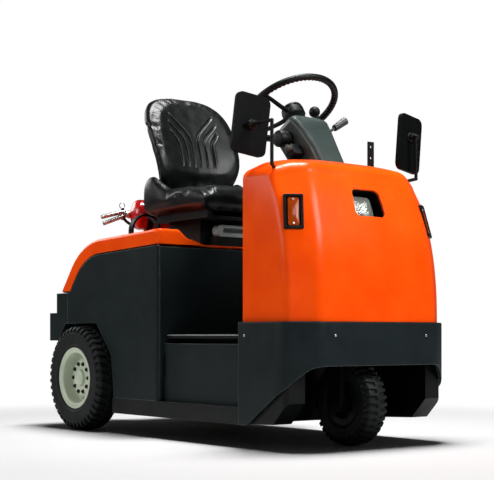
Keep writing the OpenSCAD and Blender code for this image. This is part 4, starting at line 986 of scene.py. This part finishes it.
lampSet = {
    "lensSize": (92, 77), "lensR": 15, "lensInner": 0.95, "lensWall": 3,
    # headlamp and turn lamp lenses: front, dome, back, pitch and depth of the flutes
    "headLens": (-30, 5, -43, 6.2, 0.8), "turnLens": (1.2, 2.0, -6, 4.0, 0.5),
    "bowlRim": -40, "bowlDepth": 13, "bowlWall": 3, "bulb": (6.5, 10), "bulbX": -44,
    # bezel round the headlamp: added size and radius, its rim's edges behind the lens's front, ring scales
    "bezelAdd": (5, 2), "bezelRim": (5, 3.5), "bezelScales": (1, 1, 0.985, 0.955, 0.945, 0.945),
    "turnSize": (36, 96), "turnR": 6, "turnBulb": (5.5, 9), "turnBulbAt": (-3.5, 0, -20),
    "screwZ": 41.5, "screwR": 3.6, "screwOut": 1.6,
    "frameOuter": (66, 120, 5), "frameInner": (48, 102, 3), "frameX": (-3, 4.5), "frameRound": 2,
}


def boxLoop(width, height, r, count):
    # box with round corners as a closed loop of points spread evenly along its length
    w, h = width / 2, height / 2
    loop = roundedLoop([[-w, -h, r], [w, -h, r], [w, h, r], [-w, h, r]], 8)
    return evenly(np.vstack([loop, loop[:1]]), count + 1)[:-1]


def rings(loop, rows):
    # one ring of the (y, z) loop for each row of [scale, x]
    return np.array([np.column_stack([np.full(len(loop), x), loop * k]) for k, x in rows])


def lensShape(loop, front, dome, back, pitch, depth):
    # domed front with upright flutes, depth * |sin(pi y / pitch)|, walls, and a plain inner face behind
    k = np.linspace(0.02, 1, 44)
    inner, base = lampSet["lensInner"], front - lampSet["lensWall"]
    face = rings(loop, np.column_stack([k, front + dome * (1 - k**2)]))
    face[..., 0] -= depth * np.abs(np.sin(np.pi * face[..., 1] / pitch)) * ramp(1 - k, 0.02, 0.08)[:, None]
    wall = rings(loop, [(1, back), (inner, back), (inner, base)])
    rear = rings(loop, np.column_stack([k[::-4] * inner, base + dome * (1 - k[::-4] ** 2)]))
    return grid(np.concatenate([face, wall, rear]), wrapCols=True, capRows=True)


def bulbShape(radius, half, rows, steps):
    a = np.linspace(0, np.pi, rows)
    return revolve(np.stack([radius * np.sin(a) + 0.02, half * np.cos(a)], -1), steps)


def screwHead(r):
    # domed head with a cross slot, along Z; all sizes are shares of its radius
    a = np.linspace(0, 2 * np.pi, 40, endpoint=False)
    k = np.linspace(0.05, 1, 12)[:, None]
    xy = np.stack([k * np.cos(a) * r, k * np.sin(a) * r], -1)
    slot = (np.abs(xy).min(-1) < 0.16 * r) & (k < 0.68)
    z = 0.5 * r * np.sqrt(1 - 0.75 * k**2) + 0 * a - 0.28 * r * slot
    skirt = np.stack([np.cos(a) * r, np.sin(a) * r, 0 * a - 0.4 * r], -1)[None]
    return grid(np.concatenate([np.concatenate([xy, z[..., None]], -1), skirt]), wrapCols=True, capRows=True)


def makeHeadlamp():
    m, c = lampSet, cowlSet
    place = turnY(c["lampLean"]), c["lampPlace"]
    loop = boxLoop(*m["lensSize"], m["lensR"], 168)
    lens = turned(lensShape(loop, *m["headLens"]), *place)
    piece = addPiece("headlampLens", lens, "chassis", "lamp_clear", 60)
    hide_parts("headlamp_lens")
    k = np.linspace(0.03, 0.93, 24)
    bowl = rings(loop, np.column_stack([k, m["bowlRim"] - m["bowlDepth"] * (1 - k**2)]))
    back = rings(loop, [(0.96, m["bowlRim"]), (0.96, m["bowlRim"] - m["bowlDepth"] - m["bowlWall"])])
    bowl = grid(np.concatenate([bowl, back]), wrapCols=True, capRows=True)
    addPiece("headlampBowl", turned(bowl, *place), "chassis", "bright_steel", 50)
    bulb = turned(bulbShape(*m["bulb"], 14, 24), axes((1, 0, 0)), (m["bulbX"], 0, 0))
    addPiece("headlampBulb", turned(bulb, *place), "chassis", "lamp_clear", 60)
    add, addR = m["bezelAdd"]
    outline = boxLoop(*(size + add for size in m["lensSize"]), m["lensR"] + addR, 120)
    front, _, back = m["headLens"][:3]
    low, high = (front - behind for behind in m["bezelRim"])
    bezel = rings(outline, list(zip(m["bezelScales"], (back, low, high, high, low, back))))
    bezel = grid(bezel, wrapRows=True, wrapCols=True)
    addPiece("headlampBezel", turned(bezel, *place), "chassis", "black_plastic")


def makeTurnLamps():
    m = lampSet
    loop = boxLoop(*m["turnSize"], m["turnR"], 132)
    outer, inner = boxLoop(*m["frameOuter"], 120), boxLoop(*m["frameInner"], 120)
    x0, x1 = m["frameX"]
    low = x1 - m["frameRound"]
    frameRings = [rings(outer, [(1, x0), (1, low), (0.975, x1)]),
                  rings(inner, [(1.03, x1), (1, low), (1, x0)])]
    lens = lensShape(loop, *m["turnLens"])
    bulb = moved(bulbShape(*m["turnBulb"], 12, 20), m["turnBulbAt"])
    rim = grid(np.concatenate(frameRings), wrapRows=True, wrapCols=True)
    screwX = m["turnLens"][0] + m["screwOut"]
    screw = [turned(screwHead(m["screwR"]), axes((1, 0, 0), (0, 1, 0)), (screwX, 0, z))
             for z in (-m["screwZ"], m["screwZ"])]

    def both(shape):
        return joined([turned(shape, *turnFrame(side)) for side in (-1, 1)])

    piece = addPiece("turnLenses", both(lens), "chassis", "lamp_amber", 60)
    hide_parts("turn_lamp_lenses")
    addPiece("turnFrames", both(rim), "chassis", "black_plastic")
    addPiece("turnBulbs", both(bulb), "chassis", "bright_steel", 50)
    addPiece("turnScrews", both(joined(screw)), "chassis", "bright_steel")


makeHeadlamp()
makeTurnLamps()
print("lamps made")

# controls: grip round the steering wheel, hub, switch pod

controlSet = {
    "centre": (390, 0, 1198), "lean": 32, "wheelR": 168, "gripR": 12.5, "scallops": 64, "scallopDepth": 2.2,
    "scallopTurn": 215,
    "hub": ((0.5, 10), (16, 9), (28, 6), (36, 1), (39, -5), (39, -8), (36, -9), (36, -11), (40, -12),
            (41, -16), (41, -40), (38, -44), (0.5, -44)),
    "spokes": (-73, 107, 197), "spokeFrom": (30, -24), "spokeR": (8.5, 7),
    "podAt": -148, "podR": 30, "podFrom": -126, "podTo": -40, "podBack": -6,
    # box below the pod: drop along the column, size, edge radius, middle; its keys and knob
    "boxDrop": 72, "box": ((40, 74, 45), 8), "boxAt": (10, -75, 2.5),
    "key": ((11, 6, 20), 2.5), "keysAt": ((-2, -112, 2), (14, -112, 2)), "knobAt": (22, -112, 6),
    "knob": ((0.5, 0), (11, 0), (11, 8), (9.5, 9), (9.5, 11), (11, 12), (11, 18), (8, 21), (0.5, 21.5)),
}


def onColumn(shape, along):
    # shape moved into the frame whose Z lies along the steering column, at a distance from the wheel's plane
    c = controlSet
    m = turnY(-c["lean"])
    return turned(shape, m, np.array(c["centre"]) + along * m[:, 2])


def makeControls():
    c = controlSet
    # grip: torus whose tube radius drops on its inner underside, depth * sin^2(n a / 2)
    a = np.linspace(0, 2 * np.pi, c["scallops"] * 10, endpoint=False)[:, None]
    t = np.linspace(0, 2 * np.pi, 28, endpoint=False)[None, :]
    under = ramp(np.cos(t - math.radians(c["scallopTurn"])), 0.1, 0.7)
    tubeR = c["gripR"] - c["scallopDepth"] * np.sin(c["scallops"] * a / 2) ** 2 * under
    r = c["wheelR"] + tubeR * np.cos(t)
    points = np.stack([r * np.cos(a), r * np.sin(a), tubeR * np.sin(t)], -1)
    grip = grid(points, wrapRows=True, wrapCols=True)
    piece = addPiece("steeringGrip", onColumn(grip, 0), "steering", "black_plastic", 60)
    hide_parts("steering_wheel")
    # hub and spokes; each spoke rises from the hub to the grip on a half cosine
    shapes = [revolve(c["hub"], 72)]
    t = np.linspace(0, 1, 24)
    start, drop = c["spokeFrom"]
    out, up = start + (c["wheelR"] - start) * t, drop * (0.5 + 0.5 * np.cos(np.pi * t))
    for angle in np.radians(c["spokes"]):
        path = np.stack([out * math.cos(angle), out * math.sin(angle), up], -1)
        shapes.append(tube(path, np.interp(t, (0, 1), c["spokeR"]), 20))
    addPiece("steeringHub", onColumn(joined(shapes), 0), "steering", "black_plastic", 34)
    # pod: barrel across the column with a rounded end, a small box with two keys, and a ringed knob
    end, r = c["podFrom"], c["podR"]
    barrel = revolve([[0.5, end], [r - 9, end], [r - 3, end + 3], [r, end + 9], [r, end + 26],
                      [r - 2, end + 28], [r - 2, end + 31], [r, end + 33], [r, c["podTo"]],
                      [0.5, c["podTo"]]], 56)
    boxAlong = c["podAt"] - c["boxDrop"]
    boxes = [moved(block(*c["box"]), c["boxAt"])] + [moved(block(*c["key"]), at) for at in c["keysAt"]]
    shapes = [onColumn(turned(barrel, axes((0, 1, 0)), (c["podBack"], 0, 0)), c["podAt"]),
              onColumn(joined(boxes), boxAlong)]
    piece = addPiece("switchPod", joined(shapes), "chassis", "black_plastic", 34)
    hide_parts("switch_box")
    knob = turned(revolve(c["knob"], 40), axes((0, -1, 0)), c["knobAt"])
    addPiece("keySwitch", onColumn(knob, boxAlong), "chassis", "grip_grey", 30, "leverGrey")


makeControls()
print("controls made")

# small fittings: floor mat and trim, pedal pads, black plates of painted shade in the step notches, mirror
# clamps, bumper screws

fitSet = {
    "matX": (70, 540), "matHalf": 316, "matZ": 378.2, "ribPitch": 14, "ribHeight": 2.4,
    "trimX": (68, 552), "trimY": 321, "trimR": 1.6, "trimDrop": 1,
    # pedals: place across, width, length
    "pedals": ((-150, 70, 120), (-40, 90, 80)), "pedalPlace": (493, 378), "pedalLean": 35,
    "padIn": 6, "padRibs": (11, 3), "padBack": -30, "padFoot": 20,
    "notch": (71, 334, 268), "notchSize": (13, 2.4, 88), "notchR": 1,
    "clamps": ((656, 331, 1092), (578, -331, 1081)), "clampReach": 7.5, "clampScrewX": 14,
    "collar": ((0.5, 0), (17, 0), (17, 4), (12, 7), (11, 20), (8, 22), (0.5, 22)),
    "clampScrew": ((0.5, -14), (4, -14), (4, 16), (8, 16), (8.5, 19), (8.5, 25), (7, 27), (0.5, 27)),
    "screwZ": 376, "screwR": 4.4, "screwOut": 1.2, "frontY": 206, "frontX": 865, "sideX": 590, "sideY": 365,
}


def ribbed(length, width, pitch, height):
    # mat on the XY plane with ribs along X: height * (0.2 + 0.8 ramp of a cosine), sunk edges
    n = int(width / pitch) * 10
    y = np.linspace(-width / 2, width / 2, n)[None, :]
    x = np.array([-0.5, -0.5, -0.495, 0.495, 0.5, 0.5])[:, None] * length
    level = np.array([0, 0.6, 1, 1, 0.6, 0])[:, None]
    z = height * level * (0.2 + 0.8 * ramp(np.cos(2 * np.pi * y / pitch), -0.35, 0.35))
    return grid(np.stack([x + 0 * y, y + 0 * x, z], -1))


def makeFloorCovering():
    f = fitSet
    x0, x1 = f["matX"]
    mat = ribbed(x1 - x0, 2 * f["matHalf"], f["ribPitch"], f["ribHeight"])
    addPiece("floorMat", moved(mat, ((x0 + x1) / 2, 0, f["matZ"])), "chassis", "floor_rubber", 40)
    # the pad's X runs across the pedal, its Y up the pedal, its Z out of the pedal's rear face
    upright = np.array([[0, 0, -1.0], [1, 0, 0], [0, 1, 0]])
    px, pz = f["pedalPlace"]
    pads = []
    for y, width, length in f["pedals"]:
        pad = ribbed(width - f["padIn"], length - f["padIn"], *f["padRibs"])
        pad = turned(pad, upright, (f["padBack"], 0, f["padFoot"] + length / 2))
        pads.append(turned(pad, turnY(f["pedalLean"]), (px, y, pz)))
    addPiece("pedalPads", joined(pads), "chassis", "floor_rubber", 40)
    trims = []
    for side in (-1, 1):
        ends = [(x, side * f["trimY"], f["matZ"] - f["trimDrop"]) for x in f["trimX"]]
        trims.append(tube(np.linspace(*ends, 12), f["trimR"], 14))
    addPiece("floorTrim", joined(trims), "chassis", "grip_grey", 50)


def makeFittings():
    f = fitSet
    # thin black plates in the finger notches at the step panels' rear edges, painted shade standing for the
    # dark inside of the notches
    shadePlate = block(f["notchSize"], f["notchR"])
    shadePlates = [moved(shadePlate, np.array(f["notch"]) * (1, side, 1)) for side in (-1, 1)]
    addPiece("stepPulls", joined(shadePlates), "chassis", "black_plastic")
    # clamps where the mirrors' rods meet their heads: a collar along X and a screw with a knob across it
    clamps = []
    for x, y, z in f["clamps"]:
        x += f["clampReach"]
        clamps.append(turned(revolve(f["collar"], 40), axes((1, 0, 0), (0, 1, 0)), (x, y, z)))
        across = axes((0, math.copysign(1, y), 0))
        clamps.append(turned(revolve(f["clampScrew"], 24), across, (x + f["clampScrewX"], y, z)))
    addPiece("mirrorClamps", joined(clamps), "chassis", "black_plastic", 30)
    head = screwHead(f["screwR"])
    frontX, sideY = f["frontX"] + f["screwOut"], f["sideY"] + f["screwOut"]
    screws = []
    for side in (-1, 1):
        screws.append(turned(head, axes((1, 0, 0), (0, 1, 0)), (frontX, side * f["frontY"], f["screwZ"])))
        screws.append(turned(head, axes((0, side, 0)), (f["sideX"], side * sideY, f["screwZ"])))
    addPiece("bumperScrews", joined(screws), "chassis", "bright_steel")


makeFloorCovering()
makeFittings()
print("fittings made")

# bumper: wall carried along a plan with round corners, its foot raised along the arch: z >= arch(x)

bumperSet = {
    "rearX": 555, "half": 365, "noseX": 865, "corner": (70, 103), "cornerR": 85, "lowZ": 78, "topZ": 421,
    "wall": 12, "edgeR": 5, "ledge": (12, 35), "ledgeT": 11,
    # side view of the arch: x, z, corner radius
    "arch": ((555, 77, 0), (595, 77, 8), (612, 86, 30), (722, 160, 250), (795, 206, 60), (845, 268, 30),
             (866, 277, 0)),
}


def bumperBand(section):
    # closed section of (inward distance, z) carried round the bumper's plan
    b = bumperSet
    side = [[b["rearX"], -b["half"], 0], [b["noseX"] - b["corner"][0], -b["half"], b["cornerR"]],
            [b["noseX"], b["corner"][1] - b["half"], b["cornerR"]]]
    line = roundedLine(side + [[x, -y, r] for x, y, r in reversed(side)], 16)
    along = lengths(line)
    plan = pointsAt(line, np.unique(np.concatenate([along, np.linspace(0, along[-1], 400)])))
    run = np.gradient(plan, axis=0)
    run /= np.linalg.norm(run, axis=1, keepdims=True)
    inward = np.stack([-run[:, 1], run[:, 0]], -1)
    d, z = np.asarray(section, float).T
    xy = plan[:, None] + d[None, :, None] * inward[:, None]
    foot = np.interp(plan[:, 0], *roundedLine(b["arch"], 14).T)
    z = np.maximum(z[None, :], foot[:, None])
    return grid(np.concatenate([xy, z[..., None]], -1), wrapCols=True, capRows=True)


def makeBumper():
    b = bumperSet
    turn = np.linspace(0, np.pi / 2, 6)
    edge = [(b["edgeR"] * (1 - math.cos(a)), b["topZ"] - b["edgeR"] * (1 - math.sin(a))) for a in turn]
    wall = [(0, b["lowZ"]), *edge, (b["wall"], b["topZ"]), (b["wall"], b["lowZ"])]
    piece = addPiece("bumperWall", bumperBand(wall), "chassis", "charcoal_paint")
    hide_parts("front_bumper")
    d0, d1 = b["ledge"]
    low = b["topZ"] - b["ledgeT"]
    ledge = [(d0, b["topZ"]), (d1, b["topZ"]), (d1, low), (d0, low)]
    addPiece("bumperLedge", bumperBand(ledge), "chassis", "charcoal_paint")


makeBumper()
print("bumper made")

# rear rims: profile from the cap over disc, cone and barrel to the lip, and back on the inside

rimSet = {
    # as many nuts as vents, on circles of their own
    "middle": (-480, 352, 207), "count": 10, "nutR": 57, "nutZ": 18, "ventR": 83, "ventD": 15, "ventCut": 40,
    "ventTurn": 0.31,
    "nut": ((0.5, 9), (3.5, 9), (4.4, 8), (4.6, 5), (8, 4.5), (8.6, 3), (9, -1), (0.5, -1)),
    # radius and height, from the cap round the lip and back on the inside
    "profile": ((0.5, 37), (14, 36.5), (25, 34), (31, 29), (33, 23), (34, 19), (38, 18), (62, 18), (67, 16.5),
                (72, 13), (92, -3), (96, -4), (98, 0), (98.5, 20), (99, 36), (101, 42), (106, 46),
                (113, 48.5), (118, 50), (121, 49.5), (122, 47.5), (121, 45.5), (112, 44.5), (105, 43),
                (104, 38), (104, -38), (105, -43), (121, -45.5), (122, -47.5), (120, -50), (100, -48),
                (99, -40), (98.5, -16), (94, -14), (66, 9), (60, 11), (34, 11), (32, 12.9), (0.5, 12.9)),
}


def ringOf(shape, radius, angles, z):
    # copies of a shape on a circle about Z
    return joined([moved(shape, (radius * math.cos(v), radius * math.sin(v), z)) for v in angles])


def makeRims():
    m = rimSet
    angles = np.linspace(0, 2 * np.pi, m["count"], endpoint=False)
    r, end = m["ventD"] / 2, m["ventCut"]
    vent = revolve([[0.5, -end], [r, -end], [r, end], [0.5, end]], 20)
    vents = ringOf(vent, m["ventR"], angles + m["ventTurn"], 0)
    nuts = ringOf(revolve(m["nut"], 6), m["nutR"], angles, m["nutZ"])
    for side, word in ((1, "Left"), (-1, "Right")):
        place = axes((0, side, 0)), np.array(m["middle"]) * (1, side, 1)
        body = "rear_wheel_" + word.lower()
        piece = addPiece("rearRim" + word, turned(revolve(m["profile"], 96), *place), body, "rim_paint", 30)
        carved(piece, [turned(vents, *place)], 30)
        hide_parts("rear_rim_" + word.lower())
        addPiece("wheelNuts" + word, turned(nuts, *place), body, "black_paint", 30)


makeRims()
print("rims made")

# extinguisher: valve with two handles, a pin ring and a short hose

valveSet = {
    "place": (-478, -150, 872), "turn": 20, "droop": 14,
    "neck": ((0.5, -2), (15, -2), (15, 5), (11, 8), (11, 14), (14, 16), (14, 26), (10, 30), (0.5, 31)),
    # handles: lift above the neck's axis, rise, length; each is a thick bar and a thinner one beside it
    "handles": ((10, -0.02, 92), (-8, -0.14, 84)), "handleFrom": 22, "barR": (8.5, 7), "barGap": 9,
    "body": ((24, 30, 30), 3), "bodyAt": 26, "lug": ((15, 15, 12), 2), "lugLifts": (-16, 20), "lugAt": 24,
    "ringR": 11, "ringWire": 1.6, "ringAt": (36, 26),
    # hose: knots of a cubic curve as distances out of the neck, up and to the side
    "hoseR": 6, "hose": ((20, -6, 0), (22, -22, 6), (4, -40, 10), (-40, -52, 8)),
}


def makeValve():
    v = valveSet
    # frame with Z out of the bottle's neck and X level; up and side are seen in that frame
    neck = turnZ(-v["turn"]) @ np.array([0, -1.0, 0])
    m = axes(neck, np.cross((0, 0, 1.0), neck))
    zAxis = np.array([0, 0, 1.0])
    out, up = zAxis, m.T @ zAxis
    side = np.cross(up, out)
    tip = math.radians(v["droop"])
    t = np.linspace(0, 1, 16)[:, None]
    shapes = [revolve(v["neck"], 40)]
    for lift, rise, length in v["handles"]:
        end = out * math.cos(tip) - up * math.sin(tip) + up * rise
        path = up * lift + out * v["handleFrom"] + end * length * t
        shapes += [tube(path, v["barR"][0], 16), tube(path + side * v["barGap"], v["barR"][1], 16)]
    shapes.append(moved(block(*v["body"]), out * v["bodyAt"]))
    shapes += [moved(block(*v["lug"]), up * lift + out * v["lugAt"]) for lift in v["lugLifts"]]
    a = np.linspace(0, 2 * np.pi, 25)[:, None]
    ring = v["ringR"] * (np.cos(a) * up + np.sin(a) * out)
    shapes.append(tube(ring + up * v["ringAt"][0] + out * v["ringAt"][1], v["ringWire"], 10))
    valve = turned(joined(shapes), m, v["place"])
    piece = addPiece("extinguisherValve", valve, "hood_lid", "bright_steel", 40)
    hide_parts("extinguisher_valve")
    # the hose leaves the valve's side, turns round and runs back along the bottle
    p0, p1, p2, p3 = np.array(v["hose"], float) @ np.stack([out, up, side])
    s = np.linspace(0, 1, 28)[:, None]
    curve = (1 - s) ** 3 * p0 + 3 * s * (1 - s) ** 2 * p1 + 3 * s**2 * (1 - s) * p2 + s**3 * p3
    hose = turned(tube(curve, v["hoseR"], 16), m, v["place"])
    addPiece("extinguisherHose", hose, "hood_lid", "black_plastic", 50)


makeValve()
print("valve made")

# floor: white paper that takes the shadow near the tractor and glows white further off, like the backdrop

floorSet = {
    "half": 14000, "fadeFrom": 1.25, "fadeTo": 2.4, "glow": 1.0,
    "paper": {
        "colors": ((0.86, 0.86, 0.86), (0.88, 0.88, 0.88)), "rough": (0.5, 0.6), "mottleScale": 0.6,
        "sockets": {"Specular IOR Level": 0.15},
    },
}


def makeFloor():
    f = floorSet
    line = np.linspace(-1, 1, 3) * f["half"]
    points = np.stack([*np.meshgrid(line, line, indexing="ij"), np.zeros((3, 3))], -1)
    mesh = fillMesh("floor", grid(points))
    if mesh.polygons[0].normal.z < 0:
        mesh.flip_normals()
    floor = addObject("floor", mesh)
    mat = newSurface("floorPaper", f["paper"])
    tree = mat.node_tree
    place = addNode(tree, "TexCoord").outputs["Object"]
    radius = addNode(tree, "VectorMath", {0: place}, operation="LENGTH").outputs["Value"]
    fade = addNode(tree, "MapRange", {"From Min": f["fadeFrom"], "From Max": f["fadeTo"], "Value": radius},
                   interpolation_type="SMOOTHSTEP").outputs["Result"]
    camera = addNode(tree, "LightPath").outputs["Is Camera Ray"]
    seen = addNode(tree, "Math", {0: fade, 1: camera}, operation="MULTIPLY").outputs["Value"]
    glow = addNode(tree, "Emission", {"Strength": f["glow"]}).outputs["Emission"]
    paper = tree.nodes["Principled BSDF"].outputs["BSDF"]
    mix = addNode(tree, "MixShader", {"Fac": seen, 1: paper, 2: glow}).outputs["Shader"]
    tree.links.new(mix, tree.nodes["Material Output"].inputs["Surface"])
    mesh.materials.append(mat)
    # only the top lamp lights the paper, so its shadow stays dark
    spared = bpy.data.collections.new("spared")
    spared.objects.link(floor)
    spared.collection_objects[0].light_linking.link_state = "EXCLUDE"
    for name in studioSet["lamps"]:
        if name != "topLamp":
            bpy.data.objects[name].light_linking.receiver_collection = spared


makeFloor()
print("floor laid")
